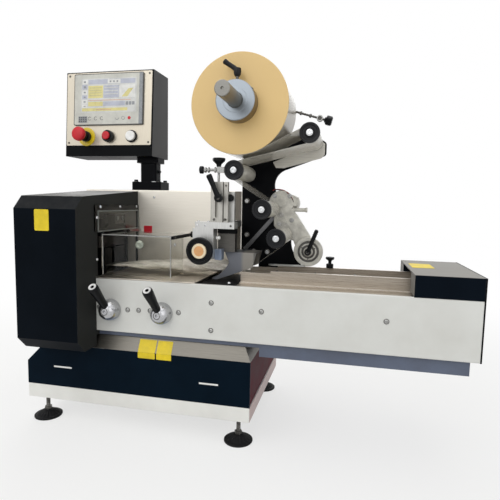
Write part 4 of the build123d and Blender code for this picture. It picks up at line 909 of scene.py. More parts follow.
panelLook = {
    "corner": (-0.249, 0.237923, 0.834), "lean": 0.061966, "fascia": 0.003,
    "bezelLeft": 0.033, "bezelLow": 0.0685, "bezelWidth": 0.246, "bezelHeight": 0.166,
    "bezelThickness": 0.006, "screws": [(0.013, 0.013), (0.297, 0.013), (0.013, 0.231), (0.297, 0.231)],
    "ringRadius": 0.030, "neckRadius": 0.0172, "neckHeight": 0.0138, "collarRadius": 0.019,
    "collarHeight": 0.0068, "stopCollar": 0.0150, "row": 0.032, "stopX": 0.159, "startX": 0.239,
    "eStopX": 0.079,
}
panelUp = Vector((0, math.sin(panelLook["lean"]), math.cos(panelLook["lean"])))
panelOut = Vector(toRight).cross(panelUp)
buttonLook = {
    "emergency_stop_head": {
        "body": "emergency_stop", "node": "e_stop_button", "across": panelLook["eStopX"],
        # the stem under the red head is black; this is partly its own colour and partly painted shade under
        # the head
        "slot": "signal_red", "skins": ["gripBlack"] * 2 + ["signalRed"] * 9,
        "wave": ribbed(0.006, 24, 0.042, 0.050),
        "profile": [(0, 0.0044), (0.0129, 0.0044), (0.0129, 0.0350), (0.0155, 0.0382), (0.0208, 0.0406),
                    (0.0222, 0.0430), (0.0224, 0.0488), (0.0218, 0.0520), (0.0198, 0.0544), (0.0160, 0.0560),
                    (0.0085, 0.0567), (0, 0.0569)]},
    "stop_cap": {
        "body": "stop_push", "node": "stop_button", "across": panelLook["stopX"], "slot": "signal_red",
        "skins": ["gripBlack"] * 2 + ["signalRed"] * 6, "wave": None,
        "profile": [(0, 0.0044), (0.0128, 0.0044), (0.0128, 0.0196), (0.0129, 0.0200), (0.0129, 0.0222),
                    (0.0122, 0.0240), (0.0104, 0.0248), (0.0060, 0.0243), (0, 0.0240)]},
    "start_cap": {
        "body": "start_push", "node": "start_button", "across": panelLook["startX"], "slot": "signal_white",
        "skins": "signalWhite", "wave": None,
        "profile": [(0, 0.0044), (0.0158, 0.0044), (0.0159, 0.0118), (0.0152, 0.0134), (0.0130, 0.0139),
                    (0.0060, 0.0136), (0, 0.0135)]},
}


def onPanel(across, up, out=0.0):
    return spot(*panelLook["corner"]) + Vector((across, 0, 0)) + panelUp * up + panelOut * out


# A field is skin, left, low, right and high as shares of the bezel from its upper left,
# rise above the face and corner radius; a repeated one adds (columns, step) and (rows, step).
displayLook = {
    "fields": [
        ("displayPale", 0.105, 0.095, 0.905, 0.755, 0.0001, 0.0006),
        # the grey strip down the right edge is a painted reflection on the screen glass
        ("displayGrey", 0.942, 0.012, 0.990, 0.985, 0.0001, 0.0006),
        ("displayBlue", 0.210, 0.115, 0.885, 0.205, 0.0002, 0.0006),
        ("displayWhite", 0.490, 0.120, 0.675, 0.200, 0.0003, 0.0006),
        ("displayYellow", 0.210, 0.235, 0.425, 0.475, 0.0002, 0.0006),
        ("displayBlue", 0.432, 0.235, 0.655, 0.475, 0.0002, 0.0006),
        ("displayWhite", 0.662, 0.235, 0.885, 0.475, 0.0002, 0.0006),
        ("displayOrange", 0.210, 0.512, 0.825, 0.524, 0.0002, 0.0002),
        ("displayYellow", 0.210, 0.545, 0.425, 0.630, 0.0002, 0.0006),
        ("displayBlue", 0.432, 0.545, 0.745, 0.630, 0.0002, 0.0006),
        ("displayYellow", 0.120, 0.668, 0.780, 0.728, 0.0002, 0.0006),
        ("displayOrange", 0.330, 0.690, 0.550, 0.705, 0.0003, 0.0002),
        ("displayGrey", 0.070, 0.825, 0.200, 0.950, 0.0002, 0.0006),
    ],
    "repeated": [
        ("displayGrey", 0.520, 0.145, 0.542, 0.178, 0.0004, 0.0003, (3, 0.050), (1, 0)),
        ("displaySand", 0.225, 0.262, 0.405, 0.283, 0.0003, 0.0003, (1, 0), (4, 0.050)),
        ("displayPale", 0.445, 0.268, 0.640, 0.287, 0.0003, 0.0003, (1, 0), (3, 0.062)),
        ("displayGrey", 0.755, 0.555, 0.791, 0.620, 0.0002, 0.0006, (3, 0.045), (1, 0)),
        ("displayDark", 0.077, 0.833, 0.097, 0.860, 0.0004, 0.0003, (4, 0.031), (3, 0.038)),
    ],
    "icons": [("displayWhite", 0.115, 0.200), ("displayBlue", 0.210, 0.300), ("displayWhite", 0.320, 0.400),
              ("displayBlue", 0.415, 0.490), ("displayWhite", 0.505, 0.580), ("displayWhite", 0.595, 0.660)],
    "iconSides": (0.120, 0.195), "signSides": (0.142, 0.172), "signInset": 0.025,
    "slant": [(0.0, 0.0), (0.02, 0.0), (0.04, 0.026), (0.024, 0.026)], "slantPlace": (0.695, 0.54),
    "markLevel": 0.13, "markWire": 0.0007,
    "rings": [(0.235, 40, 320, "displayDark"), (0.325, 40, 320, "displayDark"),
              (0.412, 40, 320, "displayDark"), (0.635, 170, 370, "displayGrey"),
              (0.722, 0, 360, "displayGrey")],
    "ringRadius": 0.0052, "dot": (0.808, 0.0054),
}


def makeDisplay(look, panel):
    width = panel["bezelWidth"]
    height = panel["bezelHeight"]
    base = panel["fascia"]
    top = base + panel["bezelThickness"]
    centre = (panel["bezelLeft"] + width / 2, panel["bezelLow"] + height / 2)
    shell = newShell()
    addPrism(shell, roundedRect(width, height, 0.005), onPanel(*centre, base), toRight, panelUp,
             panel["bezelThickness"] - 0.0008, "bezelEdge", 0.0008)
    addPrism(shell, roundedRect(width - 0.005, height - 0.005, 0.004), onPanel(*centre, top - 0.0012),
             toRight, panelUp, 0.0009, "bezelFace", 0.0003)

    def onBezel(across, up, out):
        return onPanel(panel["bezelLeft"] + width * across, panel["bezelLow"] + height * up, out)

    def inlay(skin, left, low, right, high, rise=0.0002, radius=0.0006):
        outline = roundedRect(width * (right - left), height * (high - low), radius, 2)
        addPrism(shell, outline, onBezel((left + right) / 2, 1 - (low + high) / 2, top - 0.0004), toRight,
                 panelUp, rise + 0.0001, skin)

    for field in look["fields"]:
        inlay(*field)
    for skin, left, low, right, high, rise, radius, (columns, across), (rows, down) in look["repeated"]:
        for column in range(columns):
            for row in range(rows):
                aside, below = across * column, down * row
                inlay(skin, left + aside, low + below, right + aside, high + below, rise, radius)
    left, right = look["iconSides"]
    signLeft, signRight = look["signSides"]
    inset = look["signInset"]
    for skin, low, high in look["icons"]:
        inlay(skin, left, low, right, high)
        inlay("displayGrey", signLeft, low + inset, signRight, high - inset, 0.0003)
    addPrism(shell, look["slant"], onBezel(*look["slantPlace"], top - 0.0002), toRight, panelUp, 0.0003,
             "displayYellow")
    for across, first, last, skin in look["rings"]:
        place = onBezel(across, look["markLevel"], top - 0.0002)
        points = []
        for step in range(25):
            angle = math.radians(first + (last - first) * step / 24)
            turn = Vector(toRight) * math.cos(angle) + panelUp * math.sin(angle)
            points.append(place + turn * look["ringRadius"])
        addTube(shell, points, look["markWire"], skin, 6)
    across, radius = look["dot"]
    addLathe(shell, onBezel(across, look["markLevel"], top - 0.0002), panelOut,
             [(0, 0), (radius, 0), (radius * 0.9, 0.0004), (0, 0.0005)], "signalRed", steps=24)
    finishShell(shell, "panel_display", "machine", ["hmi_screen"])


def makePanelRings(look):
    base = look["fascia"]
    screws = newShell()
    for across, up in look["screws"]:
        addScrew(screws, onPanel(across, up, base), panelOut, 0.0034, "oiledSteel", height=0.0018)
    finishShell(screws, "panel_screws", "machine")
    rings = newShell()

    def onRow(x, profile, skins, steps=48, wave=None):
        addLathe(rings, onPanel(x, look["row"], base), panelOut, profile, skins, steps=steps, closed=True,
                 wave=wave)

    ring = look["ringRadius"]
    onRow(look["eStopX"], [
        (0.0136, 0), (ring, 0), (ring, 0.0022), (ring - 0.0012, 0.003), (0.0215, 0.003), (0.0205, 0.0024),
        (look["neckRadius"] + 0.0006, 0.0024), (0.0136, 0.0024)], "signalYellow", 64)
    neck = look["neckRadius"]
    onRow(look["eStopX"], [
        (0.0134, 0.0024), (neck, 0.0024), (neck, 0.0125), (neck - 0.0014, look["neckHeight"]),
        (0.0134, look["neckHeight"])], "blackPlastic")
    for x, bore, high in ((look["stopX"], 0.0134, look["stopCollar"]),
                          (look["startX"], 0.0164, look["collarHeight"])):
        collar = look["collarRadius"] + (0.0005 if bore > 0.015 else 0)
        onRow(x, [(bore, 0), (collar, 0), (collar, high - 0.0022), (collar - 0.0016, high - 0.0004),
                  (collar - 0.0026, high), (bore, high)], "blackPlastic", 60, ribbed(0.008, 30))
    finishShell(rings, "button_ring_set", "machine", ["button_collars"])


def makeButtons(look):
    for name, button in look.items():
        shell = newShell()
        addLathe(shell, onPanel(button["across"], panelLook["row"], panelLook["fascia"]), panelOut,
                 button["profile"], button["skins"], steps=96, wave=button["wave"])
        finishShell(shell, name, button["body"], [button["node"]])


makeDisplay(displayLook, panelLook)
makePanelRings(panelLook)
makeButtons(buttonLook)
print("control panel made")


# Pedestal bolts and the side clamp of its neck

pedestalLook = {
    "flange": 0.027, "boltInset": 0.011, "boltRadius": 0.0065, "boltHeight": 0.006,
    "boltWasher": (0.009, 0.0014), "clampPlace": (0.028, 0.062), "clampRadius": 0.0055,
    "loosePlace": (0.020, -0.014), "looseWasher": (0.0115, 0.0022),
}


def makePedestalFixings(look):
    low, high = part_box("hmi_pedestal")
    centre = (low + high) / 2
    top = low.z + look["flange"]
    inset = look["boltInset"]
    washer = look["boltWasher"]
    shell = newShell()
    for x in (low.x + inset, high.x - inset):
        for y in (low.y + inset, high.y - inset):
            addLathe(shell, Vector((x, y, top)), toTop, disc(*washer), "oiledSteel", 24)
            addScrew(shell, Vector((x, y, top + washer[1])), toTop, look["boltRadius"], "blackPlastic", "cap",
                     look["boltHeight"])
    out, up = look["clampPlace"]
    radius = look["clampRadius"]
    addLathe(shell, Vector((centre.x + out, centre.y, low.z + up)), toRight, [
        (0, 0), (radius, 0), (radius, 0.006), (radius * 0.8, 0.0075), (0, 0.0075)], "blackPlastic", 24)
    across, along = look["loosePlace"]
    addLathe(shell, Vector((centre.x + across, centre.y + along, top)), toTop, disc(*look["looseWasher"]),
             "brightSteel", 32)
    finishShell(shell, "pedestal_bolts", "machine")


makePedestalFixings(pedestalLook)


# Film reel with its collars, shaft and clamp lever

reelLook = {
    "core": 0.0452, "edge": 0.0012, "faceStep": 0.0009, "bore": 0.0201, "hub": 0.0446, "collarChamfer": 0.002,
    "setScrewRadius": 0.004, "setScrewAngle": 0.9, "shaft": 0.0195,
    "leverFoot": [(0, 0), (0.004, 0), (0.004, 0.0125), (0.0065, 0.0125), (0.0088, 0.0165), (0.0098, 0.0215),
                  (0.0100, 0.0275), (0.0092, 0.0330), (0.0060, 0.0345), (0, 0.0348)],
    "leverStart": 0.0265, "leverReach": (-0.036, -0.004, 0.026), "leverThick": 0.0075, "leverThin": 0.0062,
}


def makeWinding(look):
    centre, front, back, radius = roundPart("film_roll")
    core = look["core"]
    edge = look["edge"]
    depth = back - front
    profile = [
        (core, 0.0006), (core + 0.004, 0.0006), (core + 0.0045, 0), (radius * 0.55, look["faceStep"] * 0.4),
        (radius * 0.8, 0), (radius - edge, 0), (radius, edge), (radius, depth - edge),
        (radius - edge, depth), (core + 0.0045, depth), (core, depth - 0.0006)]
    skins = ["cardboard"] * 2 + ["rollFace"] * 4 + ["rollSide"] + ["rollFace"] * 2 + ["cardboard"] * 2
    shell = newShell()
    addLathe(shell, atDepth(centre, front), toBack, profile, skins, steps=160, closed=True)
    finishShell(shell, "film_winding", "film_reel", ["film_roll"], angle=28)


def makeCollars(look):
    centre, front, back = roundPart("film_roll")[:3]
    low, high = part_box("reel_collars")
    big = (high.z - low.z) / 2
    bore = look["bore"]
    hub = look["hub"]
    chamfer = look["collarChamfer"]
    length = front - low.y
    rear = high.y - back
    shell = newShell()
    addLathe(shell, atDepth(centre, low.y), toBack, [
        (bore, 0.0008), (0.0212, 0), (big * 0.60, 0), (big * 0.615, 0.0006), (big - chamfer, 0.0006),
        (big, chamfer), (big, length - 0.0008), (big - 0.0006, length - 0.0003), (hub, length - 0.0003),
        (hub, length + 0.012), (bore, length + 0.012)], "collarAluminium", 96, closed=True)
    addLathe(shell, atDepth(centre, back + 0.0003), toBack, [
        (bore, -0.0123), (hub, -0.0123), (hub, 0), (big - 0.001, 0), (big, 0.001), (big, rear - 0.0023),
        (big - 0.002, rear - 0.0003), (bore, rear - 0.0003)], "collarAluminium", 96, closed=True)
    out = Vector((math.sin(look["setScrewAngle"]), 0, math.cos(look["setScrewAngle"])))
    addScrew(shell, atDepth(centre, low.y + length / 2) + out * big, out, look["setScrewRadius"],
             "oiledSteel", "cap", 0.0016)
    finishShell(shell, "reel_collar_set", "film_reel", ["reel_collars"])


def makeShaft(look):
    # plain bar with a centre hole, and a step where the front collar starts
    low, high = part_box("reel_shaft")
    r = look["shaft"]
    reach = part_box("reel_collars")[0].y - low.y
    length = high.y - low.y
    shell = newShell()
    addLathe(shell, atDepth(roundPart("film_roll")[0], low.y), toBack, [
        (0, 0.003), (0.0022, 0.003), (0.0036, 0), (r - 0.0018, 0), (r, 0.0018), (r, reach - 0.0035),
        (r - 0.001, reach - 0.0035), (r - 0.001, reach - 0.0015), (r + 0.0004, reach - 0.0015),
        (r + 0.0004, length), (0, length)], "shaftSteel", 72)
    finishShell(shell, "reel_shaft_bar", "film_reel", ["reel_shaft"])


def makeClampLever(look):
    centre, front = roundPart("film_roll")[:2]
    foot = Vector((centre.x, (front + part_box("reel_collars")[0].y) / 2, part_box("reel_clamp_lever")[0].z))
    shell = newShell()
    addLathe(shell, foot, toTop, look["leverFoot"], ["oiledSteel"] * 2 + ["blackPlastic"] * 7, 36)
    reach = Vector(look["leverReach"])
    start = foot + Vector((0, 0, look["leverStart"]))
    arm = [start, start + reach * 0.32 + Vector((0, 0, 0.0012)), start + reach * 0.7, start + reach * 0.985]
    thin = look["leverThin"]
    swell = look["leverThick"] - thin
    addTube(shell, smoothPath(arm, 6), lambda share: thin + swell * abs(share * 2 - 1) ** 1.5
            - (0.0022 if share > 0.97 else 0), "blackPlastic", 20)
    finishShell(shell, "collar_clamp_handle", "film_reel", ["reel_clamp_lever"])


makeWinding(reelLook)
makeCollars(reelLook)
makeShaft(reelLook)
makeClampLever(reelLook)
print("film reel made")


# Idler rollers with their caps and axle screws

rollerLook = {"tube": 0.023, "capLength": 0.012, "screwRadius": 0.0068, "screwHeight": 0.0042,
              "washerRadius": 0.0088, "axleRadius": 0.006, "axleGap": 0.0002}
rollerNodes = ["idler_roller_%d" % number for number in range(1, 5)]


def makeRollers(look):
    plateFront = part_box("film_support_plate")[0].y
    axles = newShell()
    for index, node in enumerate(rollerNodes):
        centre, front, back, cap = roundPart(node)
        start = atDepth(centre, front)
        tube = look["tube"]
        length = look["capLength"]
        depth = back - front
        bore = look["axleRadius"] + look["axleGap"]
        face = [
            (bore, 0.0022), (cap * 0.37, 0.0022), (cap * 0.40, 0.0006), (cap * 0.47, 0.0006),
            (cap * 0.52, 0.0026), (cap * 0.70, 0.0026), (cap * 0.745, 0.0008), (cap * 0.93, 0.0002),
            (cap * 0.985, 0.0014), (cap, 0.0032), (cap, length - 0.0018), (cap * 0.975, length),
            (tube, length)]
        bar = [
            (tube, depth - length * 0.35), (tube * 0.985, depth - length * 0.3),
            (tube * 0.985, depth - 0.001), (tube * 0.93, depth), (bore, depth)]
        shell = newShell()
        skins = ["capPlastic"] * (len(face) - 1) + ["rollerAluminium"] + ["capPlastic"] * len(bar)
        addLathe(shell, start, toBack, face + bar, skins, 72, closed=True)
        finishShell(shell, "idler_barrel_%d" % (index + 1), "idler_%d" % (index + 1), [node])
        head = atDepth(centre, front - 0.0004)
        addLathe(axles, head, toFront, [
            (0, 0), (look["washerRadius"], 0), (look["washerRadius"], 0.0008),
            (look["washerRadius"] - 0.0004, 0.0012), (0, 0.0012)], "brightSteel", 36)
        addScrew(axles, head - Vector((0, 0.0012, 0)), toFront, look["screwRadius"], "brightSteel", "cap",
                 look["screwHeight"] - 0.0008)
        axle = look["axleRadius"]
        reach = plateFront - head.y
        addLathe(axles, head, toBack, [
            (0, 0), (axle, 0), (axle, reach - 0.004), (0.0115, reach - 0.004), (0.012, reach - 0.0034),
            (0.012, reach), (0, reach)], "shaftSteel", 36)
    finishShell(axles, "idler_axle_screws", "machine", ["idler_axles"])


makeRollers(rollerLook)
print("idler rollers made")

# Film web over the rollers, and the crumpled tube that leaves the forming box

filmLook = {
    "gap": 0.0003, "thickness": 0.0005, "turns": (1, -1, 1, -1, -1), "across": 22, "wave": 0.0005,
    "leadGap": 0.003, "leadHeight": 0.044,
    "tubeStart": (0.352, 0.1560, 0.4745), "tubeEnd": (-0.034, 0.1575, 0.4608), "tubeRings": 84,
    "tubeHalfWidth": (0.034, 0.046, 0.044, 0.040), "tubeHalfHeight": (0.016, 0.0165, 0.011, 0.0012),
    "crumple": 0.0026,
}


def filmPath(look):
    # side view of the film as (point, normal, free share), tangent from roll to roll
    rolls = []
    for node, turn in zip(["film_roll"] + rollerNodes, look["turns"]):
        centre = roundPart(node)[0]
        radius = roundPart(node)[3] if node == "film_roll" else rollerLook["tube"]
        rolls.append((Vector((centre.x, centre.z)), radius + look["gap"], turn))
    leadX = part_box("forming_box")[1].x + look["leadGap"]
    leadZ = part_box("sealing_deck")[1].z + look["leadHeight"]
    rolls.append((Vector((leadX, leadZ)), 0.0001, -1))
    headings = []
    for (first, firstRadius, firstTurn), (second, secondRadius, secondTurn) in zip(rolls, rolls[1:]):
        span = second - first
        lean = math.asin((secondTurn * secondRadius - firstTurn * firstRadius) / span.length)
        headings.append(math.atan2(span.y, span.x) - lean)

    def onRoll(roll, heading):
        place, radius, turn = roll
        normal = Vector((-math.sin(heading), math.cos(heading)))
        return place - normal * (turn * radius), normal

    path = []
    for index, heading in enumerate(headings):
        roll = rolls[index]
        before = headings[index - 1] if index else heading - 0.5
        sweep = (heading - before) % (2 * math.pi)
        if roll[2] < 0:
            sweep -= 2 * math.pi
        steps = max(3, int(abs(sweep) / 0.16))
        for step in range(steps + 1):
            path.append(onRoll(roll, before + sweep * step / steps) + (0.0,))
        start, normal = onRoll(roll, heading)
        end = onRoll(rolls[index + 1], heading)[0]
        parts = max(4, int((end - start).length / 0.012))
        for step in range(1, parts):
            share = step / parts
            path.append((start.lerp(end, share), normal, math.sin(math.pi * share)))
    path.append((end, normal, 0.0))
    return path


def makeFilm(look):
    low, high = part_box("film_web")
    rand = random.Random(11)
    waves = [(rand.uniform(20, 90), rand.uniform(0, 6.28), rand.uniform(8, 30)) for count in range(6)]
    shell = newShell()
    rings = []
    for place, (point, normal, free) in enumerate(filmPath(look)):
        front = []
        back = []
        for step in range(look["across"] + 1):
            y = low.y + (high.y - low.y) * step / look["across"]
            lift = sum(math.sin(pitch * y + phase + along * place * 0.012) for pitch, phase, along in waves)
            lift *= look["wave"] * free / 3
            for side, share in ((front, -0.5), (back, 0.5)):
                skin = point + normal * (lift + share * look["thickness"])
                side.append(Vector((skin.x, y, skin.y)))
        rings.append(front + back[::-1])
    addFaces(shell, rings, "filmClear")
    finishShell(shell, "film_sheet", "machine", ["film_web"], angle=60)


def valueAlong(values, share):
    place = share * (len(values) - 1)
    index = min(int(place), len(values) - 2)
    return values[index] + (values[index + 1] - values[index]) * (place - index)


def makeFilmTube(look):
    rand = random.Random(5)
    folds = [(rand.uniform(2, 9), rand.uniform(0, 6.28), rand.randint(2, 7), rand.uniform(0.4, 1))
             for count in range(9)]
    start = spot(*look["tubeStart"])
    end = spot(*look["tubeEnd"])
    shell = newShell()
    rings = []
    for step in range(look["tubeRings"] + 1):
        share = step / look["tubeRings"]
        wide = valueAlong(look["tubeHalfWidth"], share)
        high = valueAlong(look["tubeHalfHeight"], share)
        ring = []
        for turn in range(72):
            angle = 2 * math.pi * turn / 72
            across = math.copysign(abs(math.cos(angle)) ** 0.8, math.cos(angle))
            upward = math.copysign(abs(math.sin(angle)) ** 0.8, math.sin(angle))
            crease = sum(size * math.sin(speed * 6.28 * share + phase + count * angle)
                         for speed, phase, count, size in folds) / 3
            lift = look["crumple"] * math.copysign(abs(crease) ** 0.7, crease) * min(1, high / 0.008)
            offset = Vector((0, across * (wide + lift), upward * (high + lift * 1.4)))
            ring.append(start.lerp(end, share) + offset)
        rings.append(ring)
    addFaces(shell, rings, "filmCrumple")
    finishShell(shell, "film_tube", "machine", angle=50)


makeFilm(filmLook)
makeFilmTube(filmLook)
print("film made")


# Front levers: a polished cone with a socket screw, and a tapering grip with a capped end

leverLook = {
    "cone": [(0, 0.0000), (0.0292, 0.0000), (0.0300, 0.0010), (0.0300, 0.0060), (0.0294, 0.0120),
             (0.0276, 0.0190), (0.0246, 0.0260), (0.0206, 0.0320), (0.0166, 0.0356), (0.0130, 0.0374),
             (0.0100, 0.0377), (0.0094, 0.0366), (0.0086, 0.0366), (0.0080, 0.0379), (0.0046, 0.0379),
             (0.0044, 0.0320), (0, 0.0320)],
    "tilt": 41, "turn": 3, "start": 0.0164, "heel": 0.019,
    "grip": [(0, 0.0030), (0.0096, 0.0030), (0.0102, 0.0045), (0.0104, 0.0120), (0.0112, 0.0330),
             (0.0128, 0.0580), (0.0139, 0.0740), (0.0139, 0.0810), (0.0130, 0.0850), (0.0118, 0.0868),
             (0.0104, 0.0873), (0.0102, 0.0880), (0.0070, 0.0880), (0.0048, 0.0872), (0.0044, 0.0790),
             (0, 0.0790)],
}


def makeLever(look, side):
    low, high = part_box("lever_hub_" + side)
    seat = Vector(((low.x + high.x) / 2, high.y, (low.z + high.z) / 2))
    hub = newShell()
    addLathe(hub, seat, toFront, look["cone"], ["hubSteel"] * 10 + ["oiledSteel"] * 2 + ["hubSteel"] * 4, 96)
    finishShell(hub, "lever_cone_" + side, side + "_lever", ["lever_hub_" + side])
    turn = math.radians(look["turn"])
    tilt = math.radians(look["tilt"])
    along = Vector((-math.sin(turn) * math.cos(tilt), -math.sin(tilt), math.cos(turn) * math.cos(tilt)))
    start = seat - Vector((0, look["heel"] - 0.0003, 0)) + along * look["start"]
    grip = newShell()
    addLathe(grip, start, along, look["grip"], ["gripBlack"] * 10 + ["capWhite"] * 3 + ["gripBlack"] * 2, 48)
    finishShell(grip, "lever_handle_" + side, side + "_lever", ["lever_grip_" + side])


makeLever(leverLook, "left")
makeLever(leverLook, "right")
print("front levers made")


# Tension disc with its ribbed lever, and the brake rod of the reel

tensionLook = {"wider": 0.0026, "rim": 0.0110, "face": 0.0060, "hubDepth": 0.016, "angle": 21,
               "forward": -0.18, "length": 0.074, "ribs": 13, "thin": 0.0058, "ribDepth": 0.0013}


def makeTensionDisc(look):
    centre, front, back, radius = roundPart("tension_disc")
    radius += look["wider"]
    face = look["face"]
    depth = back - front
    disc = newShell()
    start = atDepth(centre, front)
    rim = radius - look["rim"]
    addLathe(disc, start, toBack, [
        (0, 0.0002), (0.0118, 0), (0.0138, 0.0014), (0.0140, face + 0.0020), (0.0205, face + 0.0020),
        (0.0212, face + 0.0008), (0.0245, face + 0.0008), (0.0252, face + 0.0020),
        (rim - 0.0012, face + 0.0020), (rim, face + 0.0004), (rim + 0.0010, face), (radius - 0.0012, face),
        (radius, face + 0.0012), (radius, depth - 0.0012), (radius - 0.0012, depth), (0, depth)],
        ["discSteel"] * 3 + ["discDark"] + ["discSteel"] * 3 + ["discDark"] + ["discSteel"] * 8, 96)
    for step in range(3):
        angle = 2 * math.pi * step / 3 + 0.5
        addScrew(disc, start + Vector((0.0222 * math.cos(angle), face + 0.0008, 0.0222 * math.sin(angle))),
                 toFront, 0.0021, "oiledSteel", height=0.0011)
    finishShell(disc, "tension_wheel_face", "tension_wheel", ["tension_disc"])


def makeTensionLever(look):
    centre = roundPart("tension_disc")[0]
    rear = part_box("tension_lever")[1].y
    shell = newShell()
    addLathe(shell, atDepth(centre, rear - look["hubDepth"]), toBack, [
        (0, 0.0022), (0.0042, 0.0022), (0.0050, 0.0004), (0.0078, 0), (0.0097, 0.0022), (0.0100, 0.0060),
        (0.0100, 0.0140), (0.0106, 0.0158), (0, 0.0158)], ["oiledSteel"] * 2 + ["gripBlack"] * 7, 40)
    angle = math.radians(look["angle"])
    reach = Vector((math.sin(angle), look["forward"], math.cos(angle))).normalized() * look["length"]
    start = atDepth(centre, rear - look["hubDepth"] / 2)

    def bumpy(share):
        ripple = 0.5 + 0.5 * math.cos(2 * math.pi * look["ribs"] * share)
        return look["thin"] + look["ribDepth"] * ripple - share * 0.0004 - (0.0022 if share > 0.985 else 0)

    addTube(shell, between(start, start + reach, 104), bumpy, "gripBlack", 20)
    finishShell(shell, "tension_handle", "tension_wheel", ["tension_lever"])


brakeLook = {"start": (0.446, 0.254, 0.955), "end": (0.607, 0.254, 0.9085), "rod": 0.0038, "joint": 0.89,
             "beads": 26, "nuts": (0.30, 0.52, 0.70), "knob": 0.0138, "knobLength": 0.0225}


def makeBrake(look):
    start = spot(*look["start"])
    end = spot(*look["end"])
    reach = end - start
    along = reach.normalized()
    rod = newShell()

    def beaded(share):
        ripple = 0.5 + 0.5 * math.cos(2 * math.pi * look["beads"] * share)
        return look["rod"] * (0.72 + 0.28 * ripple)

    addTube(rod, between(start, end, 156), beaded, "oiledSteel", 14)
    addLathe(rod, start + Vector((0, -0.0055, 0)), toBack, [
        (0, 0), (0.0058, 0), (0.0076, 0.0016), (0.0078, 0.0130), (0, 0.0130)], "oiledSteel", 32)
    ring = start + reach * look["joint"]
    addLathe(rod, ring + Vector((0, -0.0062, 0)), toBack, [
        (0, 0.0020), (0.0052, 0.0020), (0.0062, 0), (0.0086, 0), (0.0096, 0.0014), (0.0098, 0.0110),
        (0.0086, 0.0124), (0, 0.0124)], ["discDark"] * 2 + ["zincSteel"] * 2 + ["oiledSteel"] * 4, 40)
    for share in look["nuts"]:
        addLathe(rod, start + reach * share, along, nut(0.0060, 0.0057, 0.0006, 0.0007), "oiledSteel", 6)
    knob = look["knob"]
    size = look["knobLength"]
    addLathe(rod, end - along * 0.004, along, [
        (0, 0), (knob * 0.55, 0), (knob * 0.62, 0.0030), (knob * 0.92, 0.0045), (knob, 0.0070),
        (knob * 0.98, size - 0.0030), (knob * 0.80, size), (0, size)],
        "gripBlack", 24, wave=ribbed(0.08, 5, 0.004, size - 0.001))
    addLathe(rod, end + along * (size - 0.0046), along, [
        (0, 0), (0.0038, 0), (0.0038, 0.0016), (0.0026, 0.0018), (0, 0.0018)], "brightSteel", 24)
    finishShell(rod, "reel_brake_screw", "machine", ["brake_rod"])


makeTensionDisc(tensionLook)
makeTensionLever(tensionLook)
makeBrake(brakeLook)
print("tension wheel and brake made")


# Height adjuster of the forming box with its handwheel

adjusterLook = {
    "handRing": [(0.0290, 0.0062), (0.0296, 0.0020), (0.0312, 0.0004), (0.0340, 0.0000), (0.0362, 0.0012),
                 (0.0374, 0.0040), (0.0374, 0.0120), (0.0360, 0.0148), (0.0330, 0.0160), (0.0150, 0.0160),
                 (0.0130, 0.0280), (0.0062, 0.0280)],
    "cap": [(0, 0.0008), (0.0128, 0.0006), (0.0138, 0.0010), (0.0142, 0.0004), (0.0192, 0.0003),
            (0.0203, 0.0012), (0.0206, 0.0052)],
    "dish": [(0.0215, 0.0062)],
    "leafWidth": 0.034, "leafDepth": 0.0095, "seam": 0.0098, "slotX": 0.0165, "slotEnds": (0.0160, 0.0860),
    "slotHalf": 0.0040, "railGap": 0.0025,
    "ledgeScrews": [(0.3075, 0.006), (0.2760, 0.014)],
    "faceScrews": [(0.3245, 0.6125, 0.0036, 0.0020, "oiledSteel"),
                   (0.3540, 0.6125, 0.0036, 0.0020, "oiledSteel"),
                   (0.2760, 0.5955, 0.0030, 0.0016, "brightSteel"),
                   (0.3000, 0.5955, 0.0030, 0.0016, "brightSteel"),
                   (0.3720, 0.5955, 0.0030, 0.0016, "oiledSteel")],
    "faceY": 0.060,
    "blueTab": ((0.3235, 0.074, 0.4990), (0.3430, 0.100, 0.5290)),
    "pinPlace": (0.3255, 0.080, 0.5610), "columnKnob": (0.365, 0.0862, 0.672),
    "postBolts": [(0.3550, 0.128, 0.5420), (0.3550, 0.128, 0.5300)],
    "leverPlace": (0.0275, 0.066), "leverDepth": 0.0180, "leverReach": (-0.027, -0.006, 0.062),
    "screwX": 0.020, "screwY": 0.007, "screwAbove": 0.010, "rodStart": 0.0100, "blockWidth": 0.0200,
    "rodNuts": (0.0135, 0.0225), "endNut": 0.0290,
}
throatLook = {
    # the first block, a thin black sheet lying on the deck, is painted shade of the opening under the forming
    # box
    "blocks": [((0.2935, 0.0090, 0.4353), (0.3940, 0.2300, 0.4366), "throatBlack", 0.0002),
               ((0.3245, 0.1010, 0.5200), (0.3740, 0.1260, 0.5720), "guideDark", 0.0010),
               ((0.3235, 0.1005, 0.5720), (0.3750, 0.1265, 0.5866), "throatBlack", 0.0006)],
    "screw": (0.368, 0.068, 0.4366), "screwRadius": 0.0052, "screwHeight": 0.0034,
}


def makeHandwheel(look):
    centre, front, back = roundPart("former_handwheel")[:3]
    shell = newShell()
    profile = look["cap"] + look["dish"] + look["handRing"]
    profile += [(0.0060, profile[-1][1]), (0.0060, back - front), (0, back - front)]
    skins = ["capTan"] * 2 + ["capCream"] * 4 + ["gripBlack"] * 13 + ["shaftSteel"] * 4
    addLathe(shell, atDepth(centre, front), toBack, profile, skins, 96)
    finishShell(shell, "height_handwheel", "handwheel", ["former_handwheel"])


